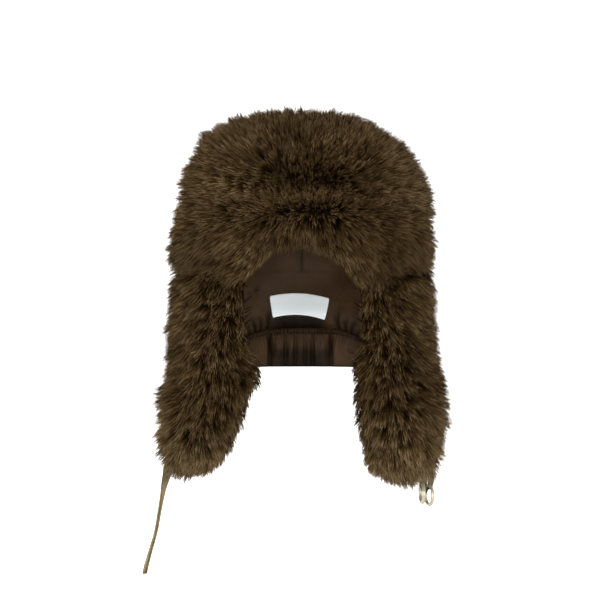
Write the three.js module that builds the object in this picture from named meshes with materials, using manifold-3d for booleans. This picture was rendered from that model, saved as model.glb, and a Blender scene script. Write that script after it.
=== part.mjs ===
// A deep-furred hat with ear flaps, as worn: a padded cap with a folded-up fur visor, two long ear flaps and
// a nape flap. Inside are a lining, an elastic channel with gathered cloth under it, and a blank label. A tie
// strap hangs from one ear flap and a loop with two rings from the other.
// Millimetres. +Z is up and the face opening looks along -Y. The origin is the middle of the head opening, at
// the height of the brow. Right and left are the wearer's, so the right ear flap is on the -X side.
import * as THREE from 'three';
import { mergeVertices } from 'three/addons/utils/BufferGeometryUtils.js';
import Module from 'manifold-3d';

const wasm = await Module();
wasm.setup();

// Driving dimensions
const head = { side: 80, front: 98, back: 98, top: 108, sectionPower: 2.3, domePower: 2.4 };
const liningWall = 2.6;
const gap = 0.5;
const hideOffset = liningWall + 0.9;
const napeHem = -118;
const elasticHalfHeight = 2.8;
const crownSeam = -20;
const flapTop = crownSeam - gap;

// Half width and depth behind the origin of the head space, below the brow
const skirtForm = [
  { height: 0, side: 80, back: 98 },
  { height: -24, side: 80, back: 98 },
  { height: -48, side: 83, back: 96 },
  { height: -78, side: 87, back: 91 },
  { height: -118, side: 93, back: 96 },
  { height: -150, side: 100, back: 98 },
  { height: -180, side: 107, back: 98 },
  { height: -240, side: 122, back: 98 },
];

// Lower edge of the cap's lining, by the turn in degrees from the brow
const capEdge = [
  { turn: 0, height: 1 },
  { turn: 20, height: -3 },
  { turn: 34, height: -12 },
  { turn: 43, height: crownSeam },
  { turn: 180, height: crownSeam },
];

// Front and rear edges of an ear flap's panel, as places along Y
const flapPanel = [
  { height: flapTop, front: -75, rear: 70 },
  { height: -34, front: -69, rear: 70 },
  { height: -60, front: -64, rear: 70 },
  { height: -118, front: -57, rear: 66 },
  { height: -150, front: -52, rear: 50 },
  { height: -180, front: -46, rear: 40 },
  { height: -198, front: -38, rear: 31 },
  { height: -209, front: -26, rear: 19 },
  { height: -214, front: -13, rear: 8 },
];

// Middle line of the elastic channel, by the share of the way from the middle of the nape to an ear flap
const elasticLine = [
  { share: 0, height: -82 },
  { share: 0.45, height: -83 },
  { share: 0.8, height: -89 },
  { share: 1, height: -95 },
];

// Folds of the gathered cloth under the elastic: place along X, how far each stands in and how wide it is
const gathers = [
  { place: -54, depth: 3, width: 9 },
  { place: -33, depth: 7, width: 4.5 },
  { place: -17.5, depth: 4, width: 3 },
  { place: -7, depth: 3, width: 2.5 },
  { place: 3.4, depth: 3, width: 2.5 },
  { place: 11.4, depth: 4, width: 3 },
  { place: 30, depth: 7, width: 4.5 },
  { place: 50, depth: 3, width: 9 },
];

// Puff of the lining above the elastic and the creases that run up from it
const puff = { depth: 7, tuck: 3, creases: 17, creaseDepth: 2.2 };
const label = { place: -3, width: 61, top: -43, bottom: -65.5, thickness: 0.8, stand: 1.9, bow: 3.5, tilt: -3.6 };

// The dense fur of the crown, with the turn-dependent lower edge, and the locks that stand out of it
const crownFur = { side: 115, front: 130, back: 130, top: 127, domePower: 2.6, columns: 40, rows: 14 };
const crownFurEdge = [
  { turn: 0, height: 22 },
  { turn: 55, height: 14 },
  { turn: 85, height: -20 },
  { turn: 180, height: -20 },
];
const locks = { rise: 13, lean: 9, spread: 0.45 };

// The visor, folded up against the crown: top and bottom edges and how far its fur stands out
const visor = [
  { turn: 0, top: 52, bottom: 3, thickness: 40 },
  { turn: 10, top: 52, bottom: -2, thickness: 40 },
  { turn: 18, top: 52, bottom: -15, thickness: 40 },
  { turn: 27, top: 52, bottom: -23, thickness: 40 },
  { turn: 47, top: 49, bottom: -26, thickness: 40 },
  { turn: 62, top: 45, bottom: -29, thickness: 38 },
  { turn: 76, top: 36, bottom: -33, thickness: 36 },
  { turn: 85, top: 20, bottom: -31, thickness: 24 },
];
const visorEnd = 85;
const visorReach = 80;

// The dense fur round each ear flap: how far it reaches inwards, outwards, forwards and back
const rightFlapFur = [
  { height: -22, inner: 36, outer: 113, front: -90, rear: 100 },
  { height: -50, inner: 36, outer: 119, front: -90, rear: 102 },
  { height: -85, inner: 37, outer: 124, front: -89, rear: 102 },
  { height: -120, inner: 41, outer: 130, front: -86, rear: 96 },
  { height: -150, inner: 52, outer: 135, front: -83, rear: 82 },
  { height: -178, inner: 60, outer: 134, front: -76, rear: 70 },
  { height: -198, inner: 70, outer: 131, front: -64, rear: 57 },
  { height: -211, inner: 84, outer: 126, front: -44, rear: 38 },
  { height: -217, inner: 98, outer: 116, front: -20, rear: 16 },
];
const leftFlapFur = [
  { height: -22, inner: 36, outer: 113, front: -90, rear: 100 },
  { height: -50, inner: 36, outer: 119, front: -90, rear: 102 },
  { height: -85, inner: 38, outer: 125, front: -89, rear: 102 },
  { height: -120, inner: 45, outer: 131, front: -86, rear: 96 },
  { height: -155, inner: 52, outer: 136, front: -83, rear: 82 },
  { height: -185, inner: 56, outer: 134, front: -77, rear: 71 },
  { height: -207, inner: 63, outer: 131, front: -66, rear: 59 },
  { height: -220, inner: 76, outer: 123, front: -46, rear: 40 },
  { height: -227, inner: 92, outer: 110, front: -20, rear: 16 },
];
const flapFurPower = 2.5;
const napeFur = { top: -24, bottom: -112, thickness: 30 };

// The tie strap: its middle line, its width and how thick it is where its edges curl together
const tie = [
  { height: -190, place: -114.6, width: 12, thickness: 2.2, turn: 88 },
  { height: -200, place: -118, width: 12, thickness: 2.2, turn: 86 },
  { height: -210, place: -126, width: 12, thickness: 2.4, turn: 60 },
  { height: -218, place: -133, width: 12, thickness: 2.6, turn: 28 },
  { height: -226, place: -136.8, width: 9.5, thickness: 3, turn: 22 },
  { height: -238, place: -139.3, width: 6.5, thickness: 3.4, turn: 20 },
  { height: -255, place: -142.7, width: 4.4, thickness: 3.6, turn: 20 },
  { height: -280, place: -147, width: 4, thickness: 3.4, turn: 20 },
  { height: -300, place: -152, width: 4.4, thickness: 3.4, turn: 20 },
  { height: -318, place: -156.6, width: 5, thickness: 3.2, turn: 20 },
  { height: -323, place: -157.2, width: 3.6, thickness: 2.6, turn: 20 },
];
const tieDepth = -6;

// The loop on the left ear flap and the two rings that hang in it, each a little to one side of its bowl
const ring = { middleRadius: 9.6, wireRadius: 1.4, sides: 6, steps: 16 };
const loop = {
  place: 124.6, depth: -6, height: -230.6, turn: 13,
  bowlRadius: 6.6, thickness: 1.8, width: 4.4, rise: 24, neck: 0.5, steps: 8,
};
const hangingRings = [
  { name: 'ring_inner', aside: -4.2, drop: 2.1, turn: 11 },
  { name: 'ring_outer', aside: 2, drop: 4.2, turn: 19 },
];

// The value of a table's column at a place between its rows, on a smooth curve that never swings past them
function between(table, key, column, at) {
  const rising = table[table.length - 1][key] > table[0][key];
  const last = table.length - 2;
  let k = 0;
  while (k < last && (rising ? at > table[k + 1][key] : at < table[k + 1][key])) k += 1;
  const secant = (i) => (table[i + 1][column] - table[i][column]) / (table[i + 1][key] - table[i][key]);
  const slope = (i) => {
    if (i === 0 || i > last) return secant(Math.min(i, last));
    const [before, after] = [secant(i - 1), secant(i)];
    return before * after > 0 ? (2 * before * after) / (before + after) : 0;
  };
  const [a, b] = [table[k], table[k + 1]];
  const run = b[key] - a[key];
  const t = THREE.MathUtils.clamp((at - a[key]) / run, 0, 1);
  return (
    a[column] * (1 + 2 * t) * (1 - t) ** 2 +
    slope(k) * run * t * (1 - t) ** 2 +
    b[column] * t * t * (3 - 2 * t) +
    slope(k + 1) * run * t * t * (t - 1)
  );
}

// A repeatable number from 0 to 1 for a pair of counts
function scatter(i, j) {
  const value = Math.sin(i * 12.9898 + j * 78.233) * 43758.5453;
  return value - Math.floor(value);
}

const signedPower = (value, power) => Math.sign(value) * Math.abs(value) ** power;
const radians = THREE.MathUtils.degToRad;

// A point on a level superellipse, turned from the front (-Y) towards +X
function sectionPoint(turn, side, front, back, height, power = head.sectionPower) {
  const across = signedPower(Math.sin(radians(turn)), 2 / power);
  const forward = signedPower(Math.cos(radians(turn)), 2 / power);
  return new THREE.Vector3(side * across, -(forward > 0 ? front : back) * forward, height);
}

// A point of a dome at a polar angle from its top. Past 90 degrees it goes straight down, a millimetre a degree
function domePoint(turn, polar, form) {
  const power = 2 / form.domePower;
  const spread = polar >= 90 ? 1 : Math.sin(radians(polar)) ** power;
  const height = polar >= 90 ? 90 - polar : form.top * Math.cos(radians(polar)) ** power;
  return sectionPoint(turn, form.side * spread, form.front * spread, form.back * spread, height);
}

// The polar angle at which a dome reaches a height
function polarAt(height, form) {
  if (height <= 0) return 90 - height;
  return THREE.MathUtils.radToDeg(Math.acos((height / form.top) ** (form.domePower / 2)));
}

const headForm = (offset) => ({
  side: head.side + offset,
  front: head.front + offset,
  back: head.back + offset,
  top: head.top + offset,
  domePower: head.domePower,
});

// A point of the head form at any height, moved outwards in the level plane
function formPoint(turn, height, offset) {
  const dualPower = head.sectionPower / (head.sectionPower - 1);
  const outward = sectionPoint(turn, 1 / head.side, 1 / head.front, 1 / head.back, 0, dualPower).normalize();
  if (height > 0) {
    const form = headForm(0);
    return domePoint(turn, polarAt(height, form), form).addScaledVector(outward, offset);
  }
  const side = between(skirtForm, 'height', 'side', height);
  const back = between(skirtForm, 'height', 'back', height);
  return sectionPoint(turn, side, head.front, back, height).addScaledVector(outward, offset);
}

// The place along X of the head form's side at a place along Y
function formSide(depth, height) {
  const side = between(skirtForm, 'height', 'side', height);
  const reach = depth < 0 ? head.front : between(skirtForm, 'height', 'back', height);
  return side * (1 - Math.abs(depth / reach) ** head.sectionPower) ** (1 / head.sectionPower);
}

// The turn at which the head form reaches a place along Y behind the origin
function turnAtDepth(depth, height) {
  const back = between(skirtForm, 'height', 'back', height);
  return 180 - THREE.MathUtils.radToDeg(Math.acos((depth / back) ** (head.sectionPower / 2)));
}

// Joins rings of points, each with the same count, into one closed body. Ends are closed to a pole, or across
// a thin wall whose outer and inner points are paired from the ends of the ring.
function loft(rings, ends = 'pole') {
  const count = rings[0].length;
  const points = rings.flat();
  const faces = [];
  const quad = (a, b, c, d) => faces.push(a, b, c, a, c, d);
  for (let r = 0; r + 1 < rings.length; r += 1) {
    for (let k = 0; k < count; k += 1) {
      const next = (k + 1) % count;
      quad(r * count + k, r * count + next, (r + 1) * count + next, (r + 1) * count + k);
    }
  }
  const close = (start, flip) => {
    const put = (a, b, c) => (flip ? faces.push(a, c, b) : faces.push(a, b, c));
    if (ends === 'pole') {
      const middle = new THREE.Vector3();
      for (let k = 0; k < count; k += 1) middle.addScaledVector(points[start + k], 1 / count);
      points.push(middle);
      for (let k = 0; k < count; k += 1) put(points.length - 1, start + ((k + 1) % count), start + k);
      return;
    }
    for (let k = 0; k + 1 < count / 2; k += 1) {
      const [a, b, c, d] = [k, k + 1, count - 2 - k, count - 1 - k].map((n) => start + n);
      put(a, c, b);
      put(a, d, c);
    }
  };
  close(0, false);
  close((rings.length - 1) * count, true);
  return solidFrom(points, faces);
}

function solidFrom(points, faces) {
  const geometry = new THREE.BufferGeometry();
  geometry.setAttribute('position', new THREE.Float32BufferAttribute(points.flatMap((p) => p.toArray()), 3));
  geometry.setIndex(faces);
  return toSolid(geometry);
}

// A three.js geometry as a manifold-3d solid that faces outwards
function toSolid(geometry) {
  const bare = geometry.clone();
  bare.deleteAttribute('normal');
  bare.deleteAttribute('uv');
  const merged = mergeVertices(bare, 1e-4);
  const build = (triVerts) =>
    new wasm.Manifold(
      new wasm.Mesh({ numProp: 3, vertProperties: merged.attributes.position.array, triVerts }),
    );
  const triVerts = new Uint32Array(merged.index.array);
  const solid = build(triVerts);
  return solid.volume() > 0 ? solid : build(triVerts.slice().reverse());
}

// A manifold-3d solid's largest piece as a named mesh
function toMesh(name, solid, material) {
  const pieces = solid.decompose().sort((a, b) => b.volume() - a.volume());
  const data = pieces[0].getMesh();
  const geometry = new THREE.BufferGeometry();
  geometry.setAttribute('position', new THREE.BufferAttribute(data.vertProperties, 3));
  geometry.setIndex(new THREE.BufferAttribute(data.triVerts, 1));
  geometry.computeVertexNormals();
  const mesh = new THREE.Mesh(geometry, material);
  mesh.name = name;
  return mesh;
}

const series = (count, make) => Array.from({ length: count + 1 }, (_, k) => make(k / count, k));

// Raises pointed locks from a grid of fur points. Every second row and column has a tip that stands out from
// the point inside it and leans the way the fur lies, and strength fades the locks where fur meets fur.
function raiseLocks(grid, insides, strength) {
  return grid.map((row, r) =>
    row.map((point, c) => {
      const isTip = r % 2 === 1 && (c + (r - 1) / 2) % 2 === 0;
      const amount = strength(r, c);
      if (!isTip || amount <= 0 || r + 1 >= grid.length) return point.clone();
      const outward = point.clone().sub(insides[r][c]).normalize();
      const along = grid[r + 1][c].clone().sub(grid[r - 1][c]).normalize();
      const vary = 1 + locks.spread * (scatter(r, c) - 0.5);
      return point
        .clone()
        .addScaledVector(outward, locks.rise * vary * amount)
        .addScaledVector(along, locks.lean * amount);
    }),
  );
}

// The cap's dome at an offset from the head form, as rings from the top to the cap's lower edge
const capColumns = 44;
const capRings = (offset) =>
  series(6, (share) =>
    series(capColumns - 1, (_, c) => {
      const turn = (360 * c) / capColumns;
      const edge = between(capEdge, 'turn', 'height', Math.min(turn, 360 - turn));
      const form = headForm(offset);
      return domePoint(turn, Math.max(share, 0.02) * polarAt(edge, form), form);
    }),
  );

const capLining = () => loft([...capRings(liningWall), ...capRings(0).reverse()]);

// The space inside the furs: the cap, and below it the linings down to the hem of the nape
function headSpace() {
  const heights = [-24, -40, -60, -78, -98, napeHem - gap];
  const skirt = heights.map((height) =>
    series(capColumns - 1, (_, c) => formPoint((360 * c) / capColumns, height, hideOffset)),
  );
  return loft([...capRings(hideOffset), ...skirt]);
}

const panelHeights = [flapTop, -34, -60, -90, -118, -150, -166, -180, -190, -198, -205, -211, -214];

// A slab along an ear flap's panel, between two offsets from the head form and grown past its edges
function panelSlab(side, heights, far, near, grow) {
  const rings = heights.map((height, k) => {
    const front = between(flapPanel, 'height', 'front', height) - grow;
    const rear = between(flapPanel, 'height', 'rear', height) + grow;
    const low = height - (k === heights.length - 1 ? grow : 0);
    const edge = (offset) =>
      series(7, (share) => {
        const depth = THREE.MathUtils.lerp(front, rear, share);
        return new THREE.Vector3(side * (formSide(depth, height) + offset), depth, low);
      });
    return [...edge(far), ...edge(near).reverse()];
  });
  return loft(rings, 'wall');
}

const flapLining = (side) => panelSlab(side, panelHeights, liningWall, 0, 0);

// The space of an ear flap's panel and everything inside it, that the fur leaves clear
const flapSpace = (side) => panelSlab(side, panelHeights.slice(3), hideOffset, -70, gap);

// The share of the way from the middle of the nape to an ear flap, as a turn at a height
function napeTurn(share, height) {
  const rear = between(flapPanel, 'height', 'rear', height) + gap;
  return 180 + share * (180 - turnAtDepth(rear, height));
}

const elasticHeight = (share) => between(elasticLine, 'share', 'height', Math.abs(share));

// A gathered wall across the nape. Its rows go down from top to bottom, and inwards(share, fall) moves it in.
function napeWall(columns, rows, top, bottom, inwards) {
  const stations = series(columns, (station) => {
    const share = 2 * station - 1;
    const side = (offset) =>
      series(rows, (fall) => {
        const height = THREE.MathUtils.lerp(top(share), bottom(share), fall);
        return formPoint(napeTurn(share, height), height, offset - inwards(share, fall, height));
      });
    return [...side(liningWall), ...side(0).reverse()];
  });
  return loft(stations, 'wall');
}

// How far the puffed lining stands in above the elastic: a rounded swell, tucked back at its foot, with
// creases that fade as they climb and fade out at the ear flaps
function puffDepth(share, fall) {
  const ends = 1 - Math.abs(share) ** 6;
  const swell = Math.sin(Math.PI * fall ** 1.6);
  const crease = Math.cos(puff.creases * Math.PI * share) * fall ** 3 * (1 - fall ** 8);
  return ends * (puff.depth * swell + puff.creaseDepth * crease - puff.tuck * fall ** 6);
}

function napeLining() {
  const foot = (share) => elasticHeight(share) + elasticHalfHeight + gap;
  return napeWall(26, 5, () => flapTop, foot, (share, fall) => Math.max(puffDepth(share, fall), 0));
}

function elasticChannel() {
  const columns = 44;
  const standIn = 2.4;
  return loft(
    series(columns, (station, k) => {
      const share = 0.985 * (2 * station - 1);
      const ruffle = k % 2 ? 0.5 : -0.1;
      const height = elasticHeight(share);
      const turn = napeTurn(share, height);
      return series(5, (_, corner) => {
        const angle = (corner * Math.PI) / 3;
        const depth = 2 - standIn + (2 + ruffle) * Math.cos(angle);
        return formPoint(turn, height + elasticHalfHeight * Math.sin(angle), depth);
      });
    }),
  );
}

function gatheredHem() {
  const top = (share) => elasticHeight(share) - elasticHalfHeight - gap;
  const fold = (share, fall, height) => {
    const place = formPoint(napeTurn(share, height), height, 0).x;
    const stand = gathers.reduce(
      (sum, row) => sum + row.depth * Math.exp(-(((place - row.place) / row.width) ** 2)),
      0,
    );
    return stand * Math.sin(Math.PI * Math.min(fall + 0.12, 0.86) ** 0.8);
  };
  return napeWall(42, 3, top, () => napeHem, fold);
}

// The blank label, bowed like the swell that it is sewn to, with one end a little lower
function labelPlate() {
  const columns = 8;
  return loft(
    series(columns, (station) => {
      const place = label.place + label.width * (station - 0.5);
      const side = (depthIn) =>
        series(3, (fall) => {
          const bow = label.bow * (1 - (2 * station - 1) ** 2);
          const lift = bow - label.bow + label.tilt * (station - 0.5);
          const height = THREE.MathUtils.lerp(label.top, label.bottom, fall) + lift;
          const shorter = 1 - 0.1 * fall;
          const across = label.place + (place - label.place) * shorter;
          const form = formPoint(180, height, 0);
          const depth = formPoint(180 - 55 * (across / head.side), height, 0).y;
          const share = Math.abs(across) / 66;
          const swell = puffDepth(share, (flapTop - height) / (flapTop - elasticHeight(share) - 3));
          return new THREE.Vector3(across, Math.min(depth, form.y) - swell - depthIn, height);
        });
      return [...side(label.stand), ...side(label.stand + label.thickness).reverse()];
    }),
    'wall',
  );
}

// The crown's fur as a solid dome, before the visor and the head space are cut from it
function crownFurBody() {
  const columns = crownFur.columns;
  const grid = series(crownFur.rows, (share) =>
    series(columns - 1, (_, c) => {
      const turn = (360 * c) / columns;
      const edge = between(crownFurEdge, 'turn', 'height', Math.min(turn, 360 - turn));
      return domePoint(turn, Math.max(share, 0.03) * polarAt(edge, crownFur), crownFur);
    }),
  );
  const middle = new THREE.Vector3(0, 0, 40);
  const insides = grid.map((row) => row.map(() => middle));
  return loft(raiseLocks(grid, insides, (r, c) => (grid[r][c].z > -6 ? 1 : 0)));
}

// The visor at a turn: a column of points down its outer face and one down the face that meets the cap
function visorColumn(turn, rows) {
  const at = Math.abs(turn);
  const [top, bottom, thickness] = ['top', 'bottom', 'thickness'].map((key) => between(visor, 'turn', key, at));
  const heights = series(rows, (fall) => THREE.MathUtils.lerp(top, bottom, fall));
  return {
    outer: heights.map((height, r) => {
      const swell = Math.sin(Math.PI * (0.06 + (0.88 * r) / rows)) ** 0.6;
      return formPoint(turn, height, hideOffset + thickness * swell);
    }),
    inner: heights.map((height) => formPoint(turn, height, hideOffset)),
  };
}

function visorFurBody() {
  const [columns, rows] = [36, 7];
  const made = series(columns, (station) => visorColumn(visorEnd * (2 * station - 1), rows));
  const grid = series(rows, (_, r) => made.map((m) => m.outer[r]));
  const insides = series(rows, (_, r) => made.map((m) => m.inner[Math.min(r, rows - 2)]));
  const fades = (r, c) => {
    const fromEnd = Math.min(c, columns - c);
    if (fromEnd < 1 || (fromEnd < 10 && (r < 2 || r > rows - 3))) return 0;
    return r === rows - 1 ? 0.7 : 1;
  };
  const raised = raiseLocks(grid, insides, fades);
  return loft(
    made.map((m, c) => [...raised.map((row) => row[c]), ...m.inner.slice().reverse()]),
    'wall',
  );
}

// The space of the visor and everything in front of it, that the other furs leave clear
function visorSpace() {
  const [columns, rows] = [54, 2];
  const stations = series(columns, (station) => {
    const turn = (visorEnd + 0.6) * (2 * station - 1);
    const at = visorEnd * Math.abs(2 * station - 1);
    const top = between(visor, 'turn', 'top', at) + 0.8;
    const bottom = between(visor, 'turn', 'bottom', at) - 0.8;
    const side = (offset) =>
      series(rows, (fall) => formPoint(turn, THREE.MathUtils.lerp(top, bottom, fall), offset));
    return [...side(visorReach), ...side(0).reverse()];
  });
  return loft(stations, 'wall');
}

// The fur round an ear flap, as level sections with locks on all but its inner face
function flapFurBody(table, side, grow) {
  const [columns, rows] = [26, 14];
  const top = table[0].height;
  const bottom = table[table.length - 1].height;
  const sections = series(rows, (share) => {
    const height = THREE.MathUtils.lerp(top, bottom, share ** 0.9);
    const [inner, outer, front, rear] = ['inner', 'outer', 'front', 'rear'].map((column) =>
      between(table, 'height', column, height),
    );
    const centre = new THREE.Vector3((side * (inner + outer)) / 2, (front + rear) / 2, height);
    const level = height + (share === 0 ? grow : 0) - (share === 1 ? grow : 0);
    const ringPoints = series(columns - 1, (_, c) =>
      sectionPoint(
        (360 * c) / columns,
        (outer - inner) / 2 + grow,
        (rear - front) / 2 + grow,
        (rear - front) / 2 + grow,
        level,
        flapFurPower,
      ).add(new THREE.Vector3(centre.x, centre.y, 0)),
    );
    return { ringPoints, centre };
  });
  const grid = sections.map((s) => s.ringPoints);
  const insides = sections.map((s) => s.ringPoints.map(() => s.centre));
  const fades = (r, c) => {
    const point = grid[r][c];
    const atInside = (point.x - sections[r].centre.x) * side < 0;
    const atNape = point.y > 45 && point.z > -105;
    if (r < 3 || atNape) return 0;
    return atInside ? 0.45 : 1;
  };
  return loft(raiseLocks(grid, insides, fades));
}

function napeFurBody() {
  const [columns, rows] = [20, 6];
  const column = (station) => {
    const turn = 180 + 54 * (2 * station - 1);
    const outer = series(rows, (fall) => {
      const height = THREE.MathUtils.lerp(napeFur.top, napeFur.bottom, fall);
      const round = (1 - fall ** 5) ** 0.5;
      return formPoint(turn, height, hideOffset + 2 + napeFur.thickness * round);
    });
    const inner = series(rows, (fall) =>
      formPoint(turn, THREE.MathUtils.lerp(napeFur.top, napeFur.bottom, fall), 0),
    );
    return { outer, inner };
  };
  const made = series(columns, column);
  const grid = series(rows, (_, r) => made.map((m) => m.outer[r]));
  const insides = series(rows, (_, r) => made.map((m) => m.inner[r]));
  const fades = (r, c) => (r > 0 && r < rows - 1 && c > 2 && c < columns - 2 ? 1 : 0);
  const raised = raiseLocks(grid, insides, fades);
  return loft(
    made.map((m, c) => [...raised.map((row) => row[c]), ...m.inner.slice().reverse()]),
    'wall',
  );
}

// The strap as level sections that narrow from a flat root to a folded tail
function tieStrap(grow) {
  const corners = 8;
  return loft(
    series(16, (share) => {
      const height = THREE.MathUtils.lerp(tie[0].height + grow, tie[tie.length - 1].height, share);
      const [place, width, thickness, turn] = ['place', 'width', 'thickness', 'turn'].map((column) =>
        between(tie, 'height', column, height),
      );
      return series(corners - 1, (_, c) =>
        sectionPoint((360 * c) / corners, width / 2 + grow, thickness / 2 + grow, thickness / 2 + grow, 0, 3)
          .applyAxisAngle(new THREE.Vector3(0, 0, 1), radians(turn))
          .add(new THREE.Vector3(place, tieDepth, height)),
      );
    }),
  );
}

// The loop: a band bent into a drop round the rings' wires, its two ends sewn together at the flap
function ringLoop(grow) {
  const outline = (radius, neckHalf, rise) => {
    const path = new THREE.Path();
    path.moveTo(neckHalf, rise);
    path.quadraticCurveTo(radius, rise * 0.45, radius, 0);
    path.absarc(0, 0, radius, 0, -Math.PI, true);
    path.quadraticCurveTo(-radius, rise * 0.45, -neckHalf, rise);
    return path.getPoints(loop.steps);
  };
  const outer = loop.bowlRadius + loop.thickness + grow;
  const shape = new THREE.Shape(outline(outer, loop.neck + loop.thickness + grow, loop.rise + grow));
  if (!grow) shape.holes.push(new THREE.Path(outline(loop.bowlRadius, loop.neck, loop.rise * 0.55).reverse()));
  const depth = loop.width + 2 * grow;
  const band = new THREE.ExtrudeGeometry(shape, { depth, bevelEnabled: false, curveSegments: 1 });
  band.translate(0, 0, -depth / 2);
  band.rotateX(Math.PI / 2);
  band.rotateZ(radians(loop.turn));
  band.translate(loop.place, loop.depth, loop.height);
  return toSolid(band);
}

function ringBody(row) {
  const body = new THREE.TorusGeometry(ring.middleRadius, ring.wireRadius, ring.sides, ring.steps);
  body.rotateY(Math.PI / 2);
  body.rotateZ(radians(row.turn));
  body.translate(loop.place + row.aside, loop.depth, loop.height - row.drop - ring.middleRadius);
  return toSolid(body);
}

const finish = (color, roughness, metalness = 0) =>
  new THREE.MeshStandardMaterial({ color, roughness, metalness });
const furFinish = finish(0x4b3c28, 0.9);
const liningFinish = finish(0x3a2a1e, 0.5);
const suedeFinish = finish(0x6b5a3c, 0.95);
const labelFinish = finish(0xd1dadb, 0.8);
const ringFinish = finish(0xd8cdb4, 0.25, 1);

// Fur that meets fur is cut back from its neighbour, and all fur is cut back from the linings inside it
const inside = headSpace();
const front = visorSpace();
const flapFur = (table, side, hanging) =>
  flapFurBody(table, side, 0).subtract(front).subtract(inside).subtract(flapSpace(side)).subtract(hanging);
const napeFurSolid = napeFurBody()
  .subtract(inside)
  .subtract(flapFurBody(rightFlapFur, -1, gap))
  .subtract(flapFurBody(leftFlapFur, 1, gap));

const ushanka = new THREE.Group();
ushanka.add(
  toMesh('cap_lining', capLining(), liningFinish),
  toMesh('ear_flap_right_lining', flapLining(-1), liningFinish),
  toMesh('ear_flap_left_lining', flapLining(1), liningFinish),
  toMesh('nape_lining', napeLining(), liningFinish),
  toMesh('elastic_channel', elasticChannel(), liningFinish),
  toMesh('gathered_hem', gatheredHem(), liningFinish),
  toMesh('label', labelPlate(), labelFinish),
  toMesh('crown_fur', crownFurBody().subtract(front).subtract(inside), furFinish),
  toMesh('visor_fur', visorFurBody(), furFinish),
  toMesh('ear_flap_right_fur', flapFur(rightFlapFur, -1, tieStrap(gap)), furFinish),
  toMesh('ear_flap_left_fur', flapFur(leftFlapFur, 1, ringLoop(gap)), furFinish),
  toMesh('nape_fur', napeFurSolid, furFinish),
  toMesh('tie_strap', tieStrap(0), suedeFinish),
  toMesh('ring_loop', ringLoop(0), suedeFinish),
  ...hangingRings.map((row) => toMesh(row.name, ringBody(row), ringFinish)),
);

export default ushanka;
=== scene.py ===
"""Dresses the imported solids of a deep-furred hat with ear flaps, and sets the studio round it.

Shapes are worked out in millimetres on numpy grids and go into their meshes in metres, in the frame of the
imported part: +Z up, the face opening along -Y, the origin in the middle of the head opening at the brow.
"""

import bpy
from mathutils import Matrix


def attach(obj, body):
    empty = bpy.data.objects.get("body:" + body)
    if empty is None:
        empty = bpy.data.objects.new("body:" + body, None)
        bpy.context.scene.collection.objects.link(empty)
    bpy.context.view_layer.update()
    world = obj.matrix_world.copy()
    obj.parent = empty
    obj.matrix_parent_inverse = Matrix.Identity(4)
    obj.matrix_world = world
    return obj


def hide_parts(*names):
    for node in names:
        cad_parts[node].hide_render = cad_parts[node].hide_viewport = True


bl_info = {
    "name": "Fur Trapper Hat",
    "version": (1, 0, 0),
    "blender": (4, 5, 0),
    "location": "View3D > Sidebar > Fur Hat",
    "description": "Builds the fur, linings, label, straps and rings of a fur trapper hat, and its studio",
    "category": "Object",
}

import math

import bpy
import numpy as np
from bpy.props import FloatProperty, FloatVectorProperty, IntProperty, PointerProperty
from mathutils import Vector

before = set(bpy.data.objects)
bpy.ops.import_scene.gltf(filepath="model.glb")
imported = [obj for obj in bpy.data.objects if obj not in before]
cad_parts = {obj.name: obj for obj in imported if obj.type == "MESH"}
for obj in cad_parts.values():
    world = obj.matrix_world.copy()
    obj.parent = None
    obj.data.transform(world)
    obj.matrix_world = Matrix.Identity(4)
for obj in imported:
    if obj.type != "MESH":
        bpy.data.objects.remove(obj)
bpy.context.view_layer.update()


def table(columns, *rows):
    """Rows of values by the names of their columns. A row's first value is the one that it is found by."""
    return [dict(zip(columns.split(), row)) for row in rows]


# Half width and depth behind the origin of the head space, below the brow, in millimetres
SKIRT_FORM = table(
    "height side back",
    (0, 80, 98),
    (-24, 80, 98),
    (-48, 83, 96),
    (-78, 87, 91),
    (-118, 93, 96),
    (-150, 100, 98),
    (-180, 107, 98),
    (-240, 122, 98),
)
# Lower edge of the cap's lining, by the turn in degrees from the brow
CAP_EDGE = table(
    "turn height",
    (0, 1),
    (20, -3),
    (34, -12),
    (43, -20),
    (180, -20),
)
# Front and rear edges of an ear flap's panel, as places along Y
FLAP_PANEL = table(
    "height front rear",
    (-20.5, -75, 70),
    (-34, -69, 70),
    (-60, -64, 70),
    (-118, -57, 66),
    (-150, -52, 50),
    (-180, -46, 40),
    (-198, -38, 31),
    (-209, -26, 19),
    (-214, -13, 8),
)
# Middle line of the elastic channel, by the share of the way from the middle of the nape to an ear flap
ELASTIC_LINE = table(
    "share height",
    (0, -82),
    (0.45, -83),
    (0.8, -89),
    (1, -95),
)
# Folds of the cloth under the elastic: place along X, how far each stands in and how wide it is
GATHERS = table(
    "place depth width",
    (-54, 3, 9),
    (-33, 7, 3.4),
    (-17.5, 4, 2.4),
    (-7, 3, 1.9),
    (3.4, 3, 1.9),
    (11.4, 4, 2.4),
    (30, 7, 3.4),
    (50, 3, 9),
)
# The visor, folded up against the crown: its edges and how far its dense fur stands out
VISOR = table(
    "turn top bottom thickness",
    (0, 52, 3, 40),
    (10, 52, -2, 40),
    (18, 52, -15, 40),
    (27, 52, -26, 40),
    (47, 50, -30, 40),
    (62, 47, -31, 41),
    (76, 38, -33, 40),
    (85, 22, -31, 32),
)
# Lower edge of the crown's fur
CROWN_EDGE = table(
    "turn height",
    (0, 22),
    (55, 14),
    (85, -20),
    (180, -20),
)
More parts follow.
